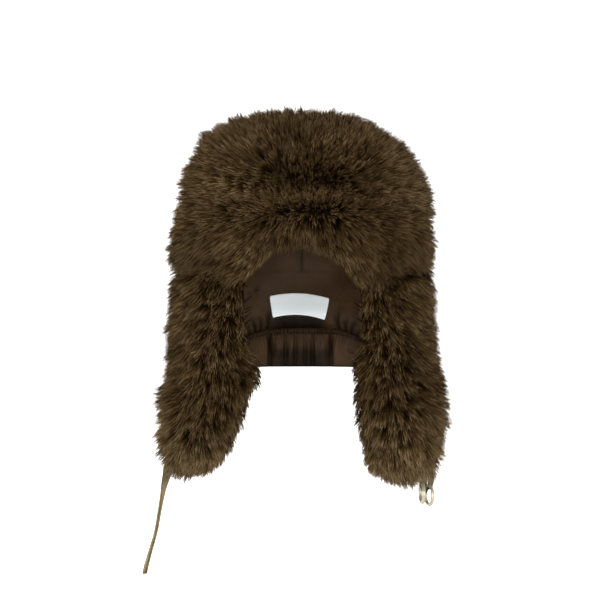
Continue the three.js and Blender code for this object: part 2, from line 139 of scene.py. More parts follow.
# The dense fur round each ear flap: how far it reaches inwards, outwards, forwards and back
RIGHT_FLAP = table(
    "height inner outer front rear",
    (-22, 36, 121, -90, 100),
    (-50, 36, 122, -90, 102),
    (-85, 36, 123, -90, 102),
    (-120, 34, 125, -88, 96),
    (-150, 50, 133, -83, 82),
    (-178, 61, 133, -76, 70),
    (-198, 71, 132, -64, 57),
    (-211, 84, 127, -44, 38),
    (-217, 98, 118, -20, 16),
)
LEFT_FLAP = table(
    "height inner outer front rear",
    (-22, 36, 122, -90, 100),
    (-50, 36, 122, -90, 102),
    (-85, 36, 124, -90, 102),
    (-120, 44, 129, -88, 96),
    (-155, 51, 135, -83, 82),
    (-185, 57, 132, -77, 71),
    (-207, 63, 128, -66, 59),
    (-220, 76, 121, -46, 40),
    (-227, 92, 110, -20, 16),
)
# The tie strap's middle line, the degrees that its edges curl round, and the way that it faces
TIE = table(
    "height place curl width turn",
    (-192, -124, 10, 12, 20),
    (-205, -129, 15, 12, 20),
    (-216, -132.4, 30, 11, 20),
    (-227, -135.4, 90, 8.4, 22),
    (-237, -137.6, 180, 8.2, 22),
    (-248, -139.7, 260, 8.4, 20),
    (-263, -142.4, 300, 8.1, 20),
    (-280, -145.5, 310, 8.0, 20),
    (-300, -151.2, 300, 8.8, 20),
    (-316, -155.8, 280, 10, 20),
    (-321, -156.8, 270, 9.2, 20),
    (-323, -157.1, 270, 6.6, 20),
)
# The edge of the face opening in the view from the front: the place along X, and the height
FACE_ARCH = table(
    "place height",
    (-58, -36),
    (-45, -18),
    (-31, -5),
    (-15, 0),
    (0, 1),
    (12, -4),
    (25, -11),
    (38, -19),
    (50, -30),
    (58, -43),
)
# The fur's edges beside the face opening in the same view: how far each is to the left or right
FACE_SIDES = table(
    "height left right",
    (-30, 56, 57.5),
    (-60, 56, 58.5),
    (-94, 55, 60),
    (-105, 46, 55),
    (-115, 36, 48),
    (-124, 38, 47),
)
# How far the crown's fur leans to one side, by its height
CROWN_LEAN = table(
    "height lean",
    (0, 1),
    (38, 2),
    (52, 3),
    (68, 1.5),
    (94, 0),
    (108, -6),
    (124, -2),
)
# Creases that climb from the elastic beside the label, with their lean for each millimetre of climb
SIDE_CREASES = table(
    "place lean climb width",
    (34, 0.02, 28, 2.6),
    (41, 0.3, 19, 2.0),
    (47, 0.6, 20, 2.2),
    (54, 0.9, 13, 2.2),
    (61, 1.2, 9, 2.2),
)
# The loop's middle, its depth and height, the radius of its bowl, the reach of its arms and its turn
LOOP = {"place": 124.6, "depth": -6, "height": -230.6, "bowl": 7.5, "rise": 24, "turn": 13}
# The two rings: how far each hangs to one side of the loop's middle and below it, and its turn
RINGS = table(
    "name aside drop turn",
    ("ring_inner", -5, 2.1, 8),
    ("ring_outer", 2, 4.2, 19),
)
# The head opening's reach forwards, and how far off the head form the inner faces of the furs lie
HEAD_FRONT = 98
FUR_GAP = 3.4
# Exponents of the head form's level section and of its dome, and of the crown's dome
HEAD_ROUND = 2.3
HEAD_DOME = 2.4
CROWN_DOME = 2.85
# Half of the turn, in degrees, that the visor and the nape's fur take up
VISOR_TURN = 85
NAPE_TURN = 56
# Heights of the ear flap pads' top, the nape fur's top, the nape lining's top and the hem's foot
PAD_TOP = -20.6
NAPE_FUR_TOP = -24
NAPE_TOP = -19
HEM_FOOT = -120.4
# How far the nape lining ends over the elastic's middle line, the hem begins under it, and its half width
OVER_ELASTIC = 2.8
UNDER_ELASTIC = 2.6
NAPE_HALF = 66
# The share of a hair's length at which it is widest
WIDEST = 0.66
# How many frames the cloth simulation runs
CLOTH_FRAMES = 20


def length(name, value, text):
    return FloatProperty(name=name, description=text, default=value, unit="LENGTH", subtype="DISTANCE")


def colour(name, value, text):
    return FloatVectorProperty(
        name=name, description=text, default=value, size=4, subtype="COLOR", min=0, max=1
    )


def number(name, value, text):
    return IntProperty(name=name, description=text, default=value, min=1000)


class HatFormSizes(bpy.types.PropertyGroup):
    """The head form that the hat is built round, and the fur's crown"""

    head_side: length("Head side", 0.08, "Half width of the head opening")
    head_front: length("Head front", HEAD_FRONT / 1000, "Reach of the head opening forwards and back")
    head_top: length("Head top", 0.108, "Height of the head space over the brow")
    lining_wall: length("Lining wall", 0.0026, "Thickness of the lining with its padding")
    crown_side: length("Crown side", 0.119, "Half width of the crown's dense fur")
    crown_front: length("Crown front", 0.13, "Reach of the crown's dense fur forwards and back")
    crown_top: length("Crown top", 0.127, "Height of the crown's dense fur over the brow")


class HatFurSizes(bpy.types.PropertyGroup):
    """The fur's hairs, tufts and colours"""

    crown_hairs: number("Crown hairs", 52000, "Hairs on the crown")
    visor_hairs: number("Visor hairs", 24000, "Hairs on the visor")
    flap_hairs: number("Flap hairs", 25500, "Hairs on each ear flap")
    nape_hairs: number("Nape hairs", 7000, "Hairs on the nape")
    hair_width: length("Hair width", 0.0008, "Width of a hair where it is widest")
    root_depth: length("Root depth", 0.016, "How far the roots lie under the dense fur's face")
    stand_out: length("Stand out", 0.009, "How far the tips stand out past the dense fur's face")
    root_colour: colour("Root colour", (0.0105, 0.0052, 0.0014, 1), "Colour at the hairs' roots")
    middle_colour: colour("Middle colour", (0.0255, 0.0132, 0.0032, 1), "Colour halfway up the hairs")
    tip_colour: colour("Tip colour", (0.122, 0.0735, 0.0275, 1), "Colour at the hairs' tips")


class HatLiningSizes(bpy.types.PropertyGroup):
    """The satin lining and the label"""

    satin_colour: colour("Satin colour", (0.041, 0.0228, 0.0108, 1), "Colour of the satin")
    label_colour: colour("Label colour", (0.9, 0.96, 0.965, 1), "Colour of the woven label")
    label_width: length("Label width", 0.0628, "Width of the label along its top")
    label_place: length("Label place", -0.0024, "Middle of the label along X")
    puff: length("Puff", 0.009, "How far the lining swells in above the elastic")


class HatTrimSizes(bpy.types.PropertyGroup):
    """The suede strap and loop, and the rings"""

    suede_colour: colour("Suede colour", (0.185, 0.138, 0.072, 1), "Colour of the suede")
    ring_colour: colour("Ring colour", (0.46, 0.415, 0.3, 1), "Colour of the pale gold rings")
    tie_width: length("Tie width", 0.012, "Flat width of the tie strap")
    tie_thickness: length("Tie thickness", 0.001, "Thickness of the tie strap")
    ring_radius: length("Ring radius", 0.0096, "Radius of a ring to the middle of its wire")
    ring_wire: length("Ring wire", 0.0018, "Radius of a ring's wire")


class HatStudioSizes(bpy.types.PropertyGroup):
    """The floor, lights and camera"""

    camera_distance: length("Camera distance", 1.8, "Distance of the camera in front of the origin")
    camera_height: length("Camera height", -0.05, "Height of the camera over the brow")
    camera_lens: FloatProperty(name="Lens", description="Focal length in millimetres", default=108)
    floor_height: length("Floor height", -2.3, "Height of the floor under the brow")
    floor_colour: colour("Floor colour", (0.9, 0.9, 0.9, 1), "Colour of the floor and the wall behind")


def sizes(group, *names):
    """Sizes of a property group in millimetres."""
    return [1000 * getattr(group, name) for name in names]


def curve(rows, column, at):
    """Values of a table's column between its rows: the cubic whose slope at a row is the harmonic mean of
    the slopes beside it, or level where they differ in sign, so it never swings past the rows."""
    key = next(iter(rows[0]))
    rows = sorted(rows, key=lambda row: row[key])
    x = np.array([row[key] for row in rows], float)
    y = np.array([row[column] for row in rows], float)
    run = np.diff(x)
    slope = np.diff(y) / run
    m = np.concatenate([slope[:1], np.zeros(len(x) - 2), slope[-1:]])
    a, b = slope[:-1], slope[1:]
    both = a * b > 0
    m[1:-1][both] = 2 * a[both] * b[both] / (a[both] + b[both])
    at = np.clip(at, x[0], x[-1])
    k = np.clip(np.searchsorted(x, at, side="right") - 1, 0, len(x) - 2)
    t = (at - x[k]) / run[k]
    return (
        y[k] * (1 + 2 * t) * (1 - t) ** 2
        + m[k] * run[k] * t * (1 - t) ** 2
        + y[k + 1] * t * t * (3 - 2 * t)
        + m[k + 1] * run[k] * t * t * (t - 1)
    )


def curves(rows, columns, at):
    """The curve of each of a few columns, named in one text."""
    return [curve(rows, column, at) for column in columns.split()]


def smooth(low, high, value):
    """From 0 to 1 as a value goes from low to high, level at both ends."""
    t = np.clip((value - low) / (high - low), 0, 1)
    return t * t * (3 - 2 * t)


def power(value, exponent):
    """The value's size raised to the exponent, with its sign kept."""
    return np.sign(value) * np.abs(value) ** exponent


def bell(value, middle, width, exponent=2):
    """One at the middle and less to both sides: e to the power of minus the share of the width, raised."""
    return np.exp(-(((value - middle) / width) ** exponent))


def spot(points, x, z, wide, high):
    """A bell along X times one along Z."""
    return bell(points[:, 0], x, wide) * bell(points[:, 2], z, high)


def turned(x, y, angle):
    """Places along X and Y after a turn seen from above."""
    return x * np.cos(angle) - y * np.sin(angle), x * np.sin(angle) + y * np.cos(angle)


def stack(x, y, z):
    return np.stack(np.broadcast_arrays(x, y, z), axis=-1).astype(float)


def unit(vectors):
    return vectors / np.maximum(np.linalg.norm(vectors, axis=-1, keepdims=True), 1e-9)


def section(turn, side, front, back, height, exponent=HEAD_ROUND):
    """A level superellipse: sine and cosine of the turn from the front, each raised to 2 / exponent."""
    across = power(np.sin(np.radians(turn)), 2 / exponent)
    forward = power(np.cos(np.radians(turn)), 2 / exponent)
    reach = np.where(forward > 0, front, back)
    return stack(side * across, -reach * forward, height)


def head_wall(turn, height, offset):
    """The head form at a height, moved outwards by the offset. Over the brow the level section shrinks with
    the height's share of the top, like a superellipse, and below it the skirt's table holds."""
    form = bpy.context.scene.hat_form
    side, front, top = sizes(form, "head_side", "head_front", "head_top")
    rise = np.clip(np.maximum(height, 0) / top, 0, 1)
    shrink = (1 - rise**HEAD_DOME) ** (1 / HEAD_DOME)
    wide, back = (shrink * values for values in curves(SKIRT_FORM, "side back", np.minimum(height, 0)))
    round_out = HEAD_ROUND / (HEAD_ROUND - 1)
    outward = unit(section(turn, 1 / side, 1 / front, 1 / front, 0, round_out))
    return section(turn, wide, front * shrink, back, height) + outward * np.asarray(offset)[..., None]


def form_side(depth, height):
    """The place along X of the head form's side at a place along Y."""
    side, back = curves(SKIRT_FORM, "side back", height)
    reach = np.where(depth < 0, 1000 * bpy.context.scene.hat_form.head_front, back)
    return side * (1 - np.abs(depth / reach) ** HEAD_ROUND) ** (1 / HEAD_ROUND)


def add_piece(name, points, faces, material, replaced, attributes=None):
    """Puts points, in millimetres, and faces, in arrays of one corner count each, into a new mesh with
    smooth faces that point outwards, and sets the piece in the frame."""
    points = points.reshape(-1, 3) * 0.001
    volume = 0
    for corners in (points[f] for f in faces):
        for k in range(1, corners.shape[1] - 1):
            volume += np.einsum("ij,ij->", corners[:, 0], np.cross(corners[:, k], corners[:, k + 1]))
    if volume < 0:
        faces = [f[:, ::-1] for f in faces]
    counts = np.concatenate([np.full(len(f), f.shape[1]) for f in faces])
    loops = np.concatenate([f.ravel() for f in faces]).astype(np.int32)
    mesh = bpy.data.meshes.new(name)
    mesh.vertices.add(len(points))
    mesh.vertices.foreach_set("co", points.astype(np.float32).ravel())
    mesh.loops.add(len(loops))
    mesh.loops.foreach_set("vertex_index", loops)
    mesh.polygons.add(len(counts))
    starts = np.concatenate([[0], np.cumsum(counts)[:-1]]).astype(np.int32)
    mesh.polygons.foreach_set("loop_start", starts)
    mesh.polygons.foreach_set("use_smooth", np.ones(len(counts), bool))
    mesh.update(calc_edges=True)
    if mesh.validate():
        raise RuntimeError(f"{name} had faces that don't hold")
    for key, values in (attributes or {}).items():
        layer = mesh.attributes.new(key, "FLOAT", "POINT")
        layer.data.foreach_set("value", np.asarray(values, np.float32).ravel())
    mesh.materials.append(material)
    piece = bpy.data.objects.new(name, mesh)
    bpy.context.scene.collection.objects.link(piece)
    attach(piece, "root")
    if replaced:
        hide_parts(*replaced)
    return piece


def ring_faces(rings, count, ends):
    """Quads between rings of one count of points. The ends are closed to a pole each, whose points follow
    the rings', or across a thin wall whose points pair up from the ends of the ring."""
    base = np.arange(rings - 1)[:, None] * count
    k = np.arange(count)[None, :]
    after = (k + 1) % count
    quads = np.stack([base + k, base + after, base + count + after, base + count + k], -1).reshape(-1, 4)
    if ends == "torus":
        base = (rings - 1) * count
        last = np.stack([base + k, base + after, after, k], -1).reshape(-1, 4)
        return [np.concatenate([quads, last])]
    k = np.arange(count)
    last = (rings - 1) * count
    if ends == "pole":
        first_pole = rings * count
        low = np.stack([np.full(count, first_pole), (k + 1) % count, k], -1)
        high = np.stack([np.full(count, first_pole + 1), last + k, last + (k + 1) % count], -1)
        return [quads, np.concatenate([low, high])]
    k = np.arange(count // 2 - 1)
    low = np.stack([count - 1 - k, count - 2 - k, k + 1, k], -1)
    high = last + low[:, ::-1]
    return [np.concatenate([quads, low, high])]


def add_rings(name, rings, ends, material, replaced, attributes=None):
    """A closed piece from an array of rings of points."""
    count = rings.shape[:2]
    points = rings.reshape(-1, 3)
    if ends == "pole":
        points = np.concatenate([points, rings[0].mean(0)[None], rings[-1].mean(0)[None]])
        attributes = {
            key: np.concatenate([np.ravel(values), [values[0].mean(), values[-1].mean()]])
            for key, values in (attributes or {}).items()
        }
    return add_piece(name, points, ring_faces(*count, ends), material, replaced, attributes)


def waves(points, size, seed, kinds=5):
    """A smooth number from about -1 to 1 at each point: the mean of sines along seeded directions."""
    rng = np.random.default_rng(seed)
    ways = unit(rng.normal(size=(kinds, 3))) * rng.uniform(0.7, 1.5, (kinds, 1)) * 2 * np.pi / size
    phases = rng.uniform(0, 2 * np.pi, kinds)
    return np.sin(points @ ways.T + phases).mean(-1) * 1.8


# Materials


def new_material(name, **sockets):
    """A node material with its Principled shader, whose plain values are set on its own sockets."""
    material = bpy.data.materials.new(name)
    material.use_nodes = True
    shader = material.node_tree.nodes["Principled BSDF"]
    for key, value in sockets.items():
        shader.inputs[key.replace("_", " ")].default_value = value
    return material, material.node_tree, shader


def add_node(tree, kind, links=(), **values):
    """A node with its settings, its inputs' plain values, and its links as (input, output socket)."""
    node = tree.nodes.new(kind)
    for key, value in values.items():
        if hasattr(node, key):
            setattr(node, key, value)
        else:
            node.inputs[key.replace("_", " ")].default_value = value
    for target, source in links:
        tree.links.new(source, node.inputs[target])
    return node


def attribute(tree, name, output):
    """A value that the mesh carries at each of its points."""
    return add_node(tree, "ShaderNodeAttribute", attribute_name=name).outputs[output]


def object_place(tree):
    """Object coordinates."""
    return add_node(tree, "ShaderNodeTexCoord").outputs["Object"]


def add_up(tree, first, second):
    return add_node(tree, "ShaderNodeMath", [(0, first), (1, second)], operation="ADD").outputs[0]


def ramp(tree, source, stops):
    """A colour ramp over (position, colour) stops."""
    node = tree.nodes.new("ShaderNodeValToRGB")
    tree.links.new(source, node.inputs["Fac"])
    elements = node.color_ramp.elements
    while len(elements) < len(stops):
        elements.new(0.5)
    for element, (position, value) in zip(elements, stops):
        element.position = position
        element.color = tuple(value)
    return node.outputs["Color"]


def grey(value):
    return (value, value, value, 1)


def tinted(base, *factors):
    """A colour times one factor, or one for each of red, green and blue."""
    return tuple(min(c * factor, 1) for c, factor in zip(base, factors * (4 - len(factors)))) + (1,)


def paint(tree, shader, colours):
    tree.links.new(colours, shader.inputs["Base Color"])


def multiply(tree, first, second):
    node = add_node(tree, "ShaderNodeMix", data_type="RGBA", blend_type="MULTIPLY")
    node.inputs["Factor"].default_value = 1
    tree.links.new(first, node.inputs[6])
    tree.links.new(second, node.inputs[7])
    return node.outputs[2]


def object_noise(tree, scale, detail=2.0, stretch=(1, 1, 1)):
    """Noise on Object coordinates at a scale in cycles a metre, stretched along the axes."""
    mapping = add_node(tree, "ShaderNodeMapping", [("Vector", object_place(tree))], Scale=stretch)
    noise = add_node(
        tree, "ShaderNodeTexNoise", [("Vector", mapping.outputs["Vector"])], Scale=scale, Detail=detail
    )
    return noise.outputs["Fac"]


def add_bump(tree, shader, height, distance, strength=1.0):
    bump = add_node(tree, "ShaderNodeBump", [("Height", height)], Distance=distance, Strength=strength)
    tree.links.new(bump.outputs["Normal"], shader.inputs["Normal"])


def fur_material():
    """Hairs dark at the root and pale at the tip, each lighter or darker by its tone, in slow patches."""
    fur = bpy.context.scene.hat_fur
    material, tree, shader = new_material("fox_fur", Roughness=0.6, Specular_IOR_Level=0.03)
    stops = [
        (0.42, fur.root_colour),
        (0.78, fur.middle_colour),
        (0.93, fur.tip_colour),
        (1.0, tinted(fur.tip_colour, 1.6, 1.75, 2.4)),
    ]
    colours = ramp(tree, attribute(tree, "along", "Fac"), stops)
    # The tone also carries the painted light and shade set on the crown, visor and ear flaps
    tones = [(0.0, grey(0.36)), (0.4, grey(0.86)), (1.0, (2.8, 3.3, 4.7, 1))]
    toned = multiply(tree, colours, ramp(tree, attribute(tree, "tone", "Fac"), tones))
    drifts = [(0.35, (0.8, 0.78, 0.76, 1)), (0.65, grey(1.15))]
    paint(tree, shader, multiply(tree, toned, ramp(tree, object_noise(tree, 22), drifts)))
    return material


def undercoat_material():
    """The dense underfur, nearly as dark as shadow, with short streaks."""
    root = bpy.context.scene.hat_fur.root_colour
    material, tree, shader = new_material("underfur", Roughness=0.95, Specular_IOR_Level=0.02)
    streaks = object_noise(tree, 500, 3, (1, 1, 0.25))
    paint(tree, shader, ramp(tree, streaks, [(0.3, tinted(root, 0.5)), (0.7, root)]))
    add_bump(tree, shader, streaks, 0.002)
    return material


def satin_material():
    """Brown satin: a fine twill that shows only close to, soft wrinkles and a broad sheen."""
    base = bpy.context.scene.hat_lining.satin_colour
    material, tree, shader = new_material("brown_satin", Roughness=0.5, Specular_IOR_Level=0.1)
    soft = ramp(tree, object_noise(tree, 45, 3), [(0.3, base), (0.7, tinted(base, 1.35))])
    # The shade attribute carries painted shade in the linings' creases, folds and recesses, painted light
    # on the hem and the elastic's top, and the darker seam lines
    paint(tree, shader, multiply(tree, soft, attribute(tree, "shade", "Color")))
    links = [("Vector", object_place(tree))]
    twill = add_node(
        tree, "ShaderNodeTexWave", links, Scale=420, Distortion=0.6, bands_direction="DIAGONAL"
    )
    wrinkles = add_node(tree, "ShaderNodeMath", [(0, object_noise(tree, 90, 4))], operation="MULTIPLY")
    wrinkles.inputs[1].default_value = 6
    add_bump(tree, shader, add_up(tree, wrinkles.outputs[0], twill.outputs["Fac"]), 0.00025, 0.7)
    return material


def label_material():
    """White woven ribbon: fine warp and weft ribs."""
    base = bpy.context.scene.hat_lining.label_colour
    material, tree, shader = new_material("woven_label", Roughness=0.6, Sheen_Weight=0.2)
    links = [("Vector", object_place(tree))]
    warp, weft = (
        add_node(tree, "ShaderNodeTexWave", links, Scale=380, bands_direction=way).outputs["Fac"]
        for way in ("X", "Z")
    )
    weave = add_up(tree, warp, weft)
    paint(tree, shader, ramp(tree, weave, [(0.2, tinted(base, 0.86)), (0.9, base)]))
    add_bump(tree, shader, weave, 0.00015, 0.6)
    return material


def suede_material():
    """Olive suede: a napped face with a fine mottle and paler rubbed spots."""
    base = bpy.context.scene.hat_trim.suede_colour
    material, tree, shader = new_material(
        "olive_suede", Roughness=0.95, Specular_IOR_Level=0.1, Sheen_Weight=0.12, Sheen_Roughness=0.6
    )
    nap = object_noise(tree, 900, 4)
    rubbed = ramp(tree, object_noise(tree, 120, 3), [(0.35, grey(0.8)), (0.7, grey(1.2))])
    colours = ramp(tree, nap, [(0.25, tinted(base, 0.6)), (0.5, base), (0.8, tinted(base, 1.5))])
    # The shade attribute is painted shade: darker where the strap comes out from under the fur, and low in
    # the loop inside the rings
    colours = multiply(tree, multiply(tree, colours, rubbed), attribute(tree, "shade", "Color"))
    paint(tree, shader, colours)
    add_bump(tree, shader, nap, 0.0004, 0.8)
    return material


def ring_material():
    """Pale gold, polished, with faint rub marks."""
    base = bpy.context.scene.hat_trim.ring_colour
    material, tree, shader = new_material("pale_gold", Metallic=0.5)
    marks = object_noise(tree, 600, 4, (1, 1, 4))
    paint(tree, shader, ramp(tree, marks, [(0.35, tinted(base, 0.88)), (0.6, base)]))
    tree.links.new(ramp(tree, marks, [(0.3, grey(0.42)), (0.7, grey(0.3))]), shader.inputs["Roughness"])
    return material


def shared(name, make):
    return bpy.data.materials.get(name) or make()


# Fur


def frame_on(surface, inside, u, v):
    """Points of a surface and its outward normals, by small steps each way along its two parameters."""
    step = 0.002
    u = np.asarray(u, float)
    v = np.clip(v, 0.004, 0.996)
    points = surface(u, v)
    along_u = surface(u + step, v) - surface(u - step, v)
    along_v = surface(u, v + step) - surface(u, v - step)
    normals = unit(np.cross(along_u, along_v))
    outward = np.sign((normals * (points - inside(u, v))).sum(-1, keepdims=True))
    return points, normals * np.where(outward == 0, 1, outward)


def scatter(surface, count, rng):
    """Parameters of points spread evenly over a surface: cells are drawn by their area, then a place in
    each."""
    across, down = 160, 90
    u, v = np.meshgrid(np.linspace(0, 1, across + 1), np.linspace(0, 1, down + 1))
    grid = surface(u, v)
    a = grid[:-1, 1:] - grid[:-1, :-1]
    b = grid[1:, :-1] - grid[:-1, :-1]
    area = np.linalg.norm(np.cross(a, b), axis=-1).ravel()
    cells = rng.choice(area.size, count, p=area / area.sum())
    row, column = np.divmod(cells, across)
    return (column + rng.random(count)) / across, (row + rng.random(count)) / down


def nearest_leaders(roots, leaders):
    """For each root the place, in the list of leaders, of the nearest one, looked for in level slices."""
    nearest = np.empty(len(roots), int)
    heights = roots[leaders][:, 2]
    for part in np.array_split(np.argsort(roots[:, 2]), max(len(roots) // 400, 1)):
        low, high = roots[part, 2].min() - 12, roots[part, 2].max() + 12
        first = min(np.searchsorted(heights, low), len(leaders) - 1)
        last = max(np.searchsorted(heights, high), first + 1)
        near = roots[leaders[first:last]]
        gaps = ((roots[part][:, None] - near[None]) ** 2).sum(-1)
        nearest[part] = first + np.argmin(gaps, axis=1)
    return nearest


def grow_hairs(roots, normals, flow, rise, slide, rng, pull, stray, tuft=9):
    """Middle lines of hairs at their root, widest place and tip. A hair rises along its normal, and slides
    along the flow with the 1.6th power of the share of its length. Hairs round a tuft's leader are pulled
    to the leader's own line, more towards the tip, and each tuft and each hair strays a little by itself.
    Each also gets a tone from 0 to 1: about a quarter are guard hairs, which are longer and paler."""
    count = len(roots)
    t = np.array([0, WIDEST, 1])[None, :, None]
    leaders = rng.choice(count, max(count // tuft, 1), replace=False)
    leaders = leaders[np.argsort(roots[leaders][:, 2])]
    nearest = nearest_leaders(roots, leaders)
    guard = rng.random(count) < 0.26
    level = flow - normals * (flow * normals).sum(-1, keepdims=True)
    tangent = level / np.maximum(np.linalg.norm(level, axis=-1, keepdims=True), 0.8)
    tuft_stray = rng.normal(0, stray, (len(leaders), 3))
    tuft_stray = np.clip(tuft_stray, -1.7 * stray, 1.7 * stray)[nearest]
    tuft_size = rng.normal(1, 0.1, len(leaders))[nearest]
    size = np.clip(tuft_size * rng.normal(1, 0.08, count), 0.7, 1.2) * np.where(guard, 1.1, 0.95)
    rise = np.broadcast_to(np.asarray(rise, float), (count,))[:, None] * size[:, None]
    slide = np.broadcast_to(np.asarray(slide, float), (count,))[:, None] * size[:, None]
    hair_stray = np.clip(rng.normal(0, stray, (count, 3)), -2 * stray, 2 * stray)
    strays = (tuft_stray + hair_stray) * np.hypot(rise, slide)
    lines = (
        roots[:, None]
        + (normals * rise)[:, None] * t
        + (tangent * slide)[:, None] * t**1.6
        + strays[:, None] * t**1.3
    )
    lead = lines[leaders][nearest]
    lines = lines + (lead - lines) * np.where(guard, 0.6 * pull, pull)[:, None, None] * t**1.2
    drift = 0.5 + 0.5 * waves(roots, 24, 77)
    tone = 0.3 * rng.random(len(leaders))[nearest] + 0.45 * rng.random(count) + 0.25 * drift
    tone = np.clip(tone, 0, 1)
    return lines, np.where(guard, 0.45 + 0.55 * tone, 0.7 * tone)


def trim(lines, tone, allowed):
    """Shortens each hair to the largest of a few shares at which it is allowed, and drops the hairs that
    aren't allowed at the least."""
    root = lines[:, 0]
    reach = lines[:, -1] - root
    size = np.zeros(len(lines))
    for share in (0.35, 0.5, 0.7, 0.85, 1.0):
        fits = allowed(root + share * reach) & allowed(root + 0.6 * share * reach)
        size = np.where(fits, share, size)
    keep = size > 0
    lines = root[keep, None] + (lines[keep] - root[keep, None]) * size[keep, None, None]
    return lines, tone[keep]


def add_hairs(name, lines, tone, width, material, rng):
    """Closed three-sided hairs as one mesh, each from its root over three points round its widest place to
    its tip."""
    count = len(lines)
    along = unit(lines[:, 2] - lines[:, 0])
    aside = unit(np.cross(along, rng.normal(size=(count, 3))))
    other = np.cross(along, aside)
    thick = (width * np.where(tone > 0.5, 0.75, 1.0) * rng.uniform(0.75, 1.2, count))[:, None, None]
    angle = np.arange(3) * 2 * np.pi / 3
    rings = lines[:, 1:2] + thick * (
        aside[:, None] * np.cos(angle)[None, :, None] + other[:, None] * np.sin(angle)[None, :, None]
    )
    points = np.concatenate([lines[:, :1], rings, lines[:, 2:]], axis=1)
    j = np.arange(3)
    after = (j + 1) % 3
    tips = np.stack([1 + j, 1 + after, np.full(3, 4)], -1)
    roots = np.stack([1 + after, 1 + j, np.zeros(3, int)], -1)
    starts = (np.arange(count) * 5)[:, None, None]
    faces = [(starts + np.concatenate([tips, roots])).reshape(-1, 3)]
    shares = np.tile([0, WIDEST, WIDEST, WIDEST, 1.0], count)
    carried = {"along": shares, "tone": np.repeat(tone, 5)}
    return add_piece(name, points, faces, material, [], carried)


def stray_flow(points, base, amount, seed):
    """The base direction with slow seeded waves added, so that the fur lies in drifts."""
    drift = stack(*(waves(points, 60, seed + k) for k in range(3)))
    return base + amount * drift


def dome(turn, v, side, front, top, power_up, edge):
    """A dome over a level superellipse, by v from its top to its edge: the level size and the height are
    the sine and cosine of an angle, each raised to 2 / power_up, and past 90 degrees it goes straight
    down."""
    rim = np.degrees(np.arccos(np.clip(edge / top, 0, 1) ** (power_up / 2)))
    last = np.where(edge > 0, rim, 90 - edge)
    polar = v * last
    angle = np.radians(np.clip(polar, 0, 90))
    spread = np.where(polar >= 90, 1, np.sin(angle) ** (2 / power_up))
    height = np.where(polar >= 90, 90 - polar, top * np.cos(angle) ** (2 / power_up))
    return section(turn, side * spread, front * spread, front * spread, height)


def crown_surface(u, v):
    """The crown's dense fur: turn by u, and from the top to the edge by v."""
    form = bpy.context.scene.hat_form
    side, front, top = sizes(form, "crown_side", "crown_front", "crown_top")
    turn = 360 * u
    edge = curve(CROWN_EDGE, "height", np.abs((turn + 180) % 360 - 180))
    points = dome(turn, v, side, front, top, CROWN_DOME, edge)
    return points + stack(curve(CROWN_LEAN, "lean", points[..., 2]), 0, 0)


def crown_inside(u, v):
    """A point well inside the crown, the same for all of its face."""
    return np.broadcast_to(np.array([0, 0, 35.0]), np.shape(u) + (3,))


def visor_surface(u, v):
    """The visor's dense fur: turn by u, height by v, and a swell between its two edges."""
    turn = VISOR_TURN * (2 * u - 1)
    top, bottom, thickness = curves(VISOR, "top bottom thickness", np.abs(turn))
    height = top + (bottom - top) * v
    swell = np.sin(np.pi * np.clip(0.13 + 0.81 * v, 0.01, 0.99)) ** 0.6
    return head_wall(turn, height, 3.5 + thickness * swell)


def visor_inside(u, v):
    """Points between the visor and the head form, near its middle height."""
    turn = VISOR_TURN * (2 * u - 1)
    top, bottom = curves(VISOR, "top bottom", np.abs(turn))
    return head_wall(turn, bottom + (top - bottom) * (0.5 + 0.5 * (0.5 - v)), 3.5)


def flap_parts(rows, v):
    """The middle and half sizes of an ear flap's level section at v, from its top to its foot."""
    heights = [row["height"] for row in rows]
    height = heights[0] + (heights[-1] - heights[0]) * np.clip(v, 0, 1) ** 0.9
    inner, outer, front, rear = curves(rows, "inner outer front rear", height)
    return height, (inner + outer) / 2, (outer - inner) / 2, (front + rear) / 2, (rear - front) / 2


def head_share(points, room):
    """One on the head form grown by the room, less inside it, and more outside."""
    x, y, z = points[..., 0], points[..., 1], points[..., 2]
    wide = curve(SKIRT_FORM, "side", z) + room
    deep = np.where(y < 0, HEAD_FRONT, curve(SKIRT_FORM, "back", z)) + room
    return (np.abs(x / wide) ** HEAD_ROUND + np.abs(y / deep) ** HEAD_ROUND) ** (1 / HEAD_ROUND)


def push_out(points, room):
    """Moves points that are inside the head form grown by the room, under the brow, level onto it, and less
    so under the nape's hem."""
    share = head_share(points, room)
    start = -88 - 32 * smooth(-45, -5, points[..., 1])
    under = np.clip((start - points[..., 2]) / 26, 0, 1)
    size = np.where(share < 1, 1 / np.maximum(share, 0.3), 1)
    size = 1 + (size - 1) * (1 - under)
    return points * np.stack([size, size, np.ones_like(size)], -1)


def flap_surface(rows, side):
    """The dense fur round an ear flap: a level superellipse at v, followed by u from the panel's front edge
    round the outside to its rear edge, and kept outside the head space."""

    def surface(u, v):
        height, middle, half, centre, reach = flap_parts(rows, v)
        front, rear = curves(FLAP_PANEL, "front rear", height)
        start = -np.degrees(np.arccos(np.clip((centre - front + 1) / reach, 0, 1) ** 1.25))
        end = 180 + np.degrees(np.arccos(np.clip((rear + 1 - centre) / reach, 0, 1) ** 1.25))
        turn = start + (end - start) * u
        across = middle + half * power(np.sin(np.radians(turn)), 0.8)
        depth = centre - reach * power(np.cos(np.radians(turn)), 0.8)
        return push_out(stack(side * across, depth, height), 0.5)

    def inside(u, v):
        height, middle, _, centre, _ = flap_parts(rows, v)
        return stack(side * middle, centre + 0 * u, height)

    return surface, inside


def nape_surface(u, v):
    """The nape's dense fur: turn by u, height by v, rounded under at the hem."""
    turn = 180 + NAPE_TURN * (2 * u - 1)
    height = NAPE_FUR_TOP - 88 * v
    return head_wall(turn, height, 5.5 + 30 * (1 - np.clip(v, 0, 1) ** 5) ** 0.5)


def nape_inside(u, v):
    """Points of the head form behind the nape's fur."""
    return head_wall(180 + NAPE_TURN * (2 * u - 1), NAPE_FUR_TOP - 80 * v, 0)


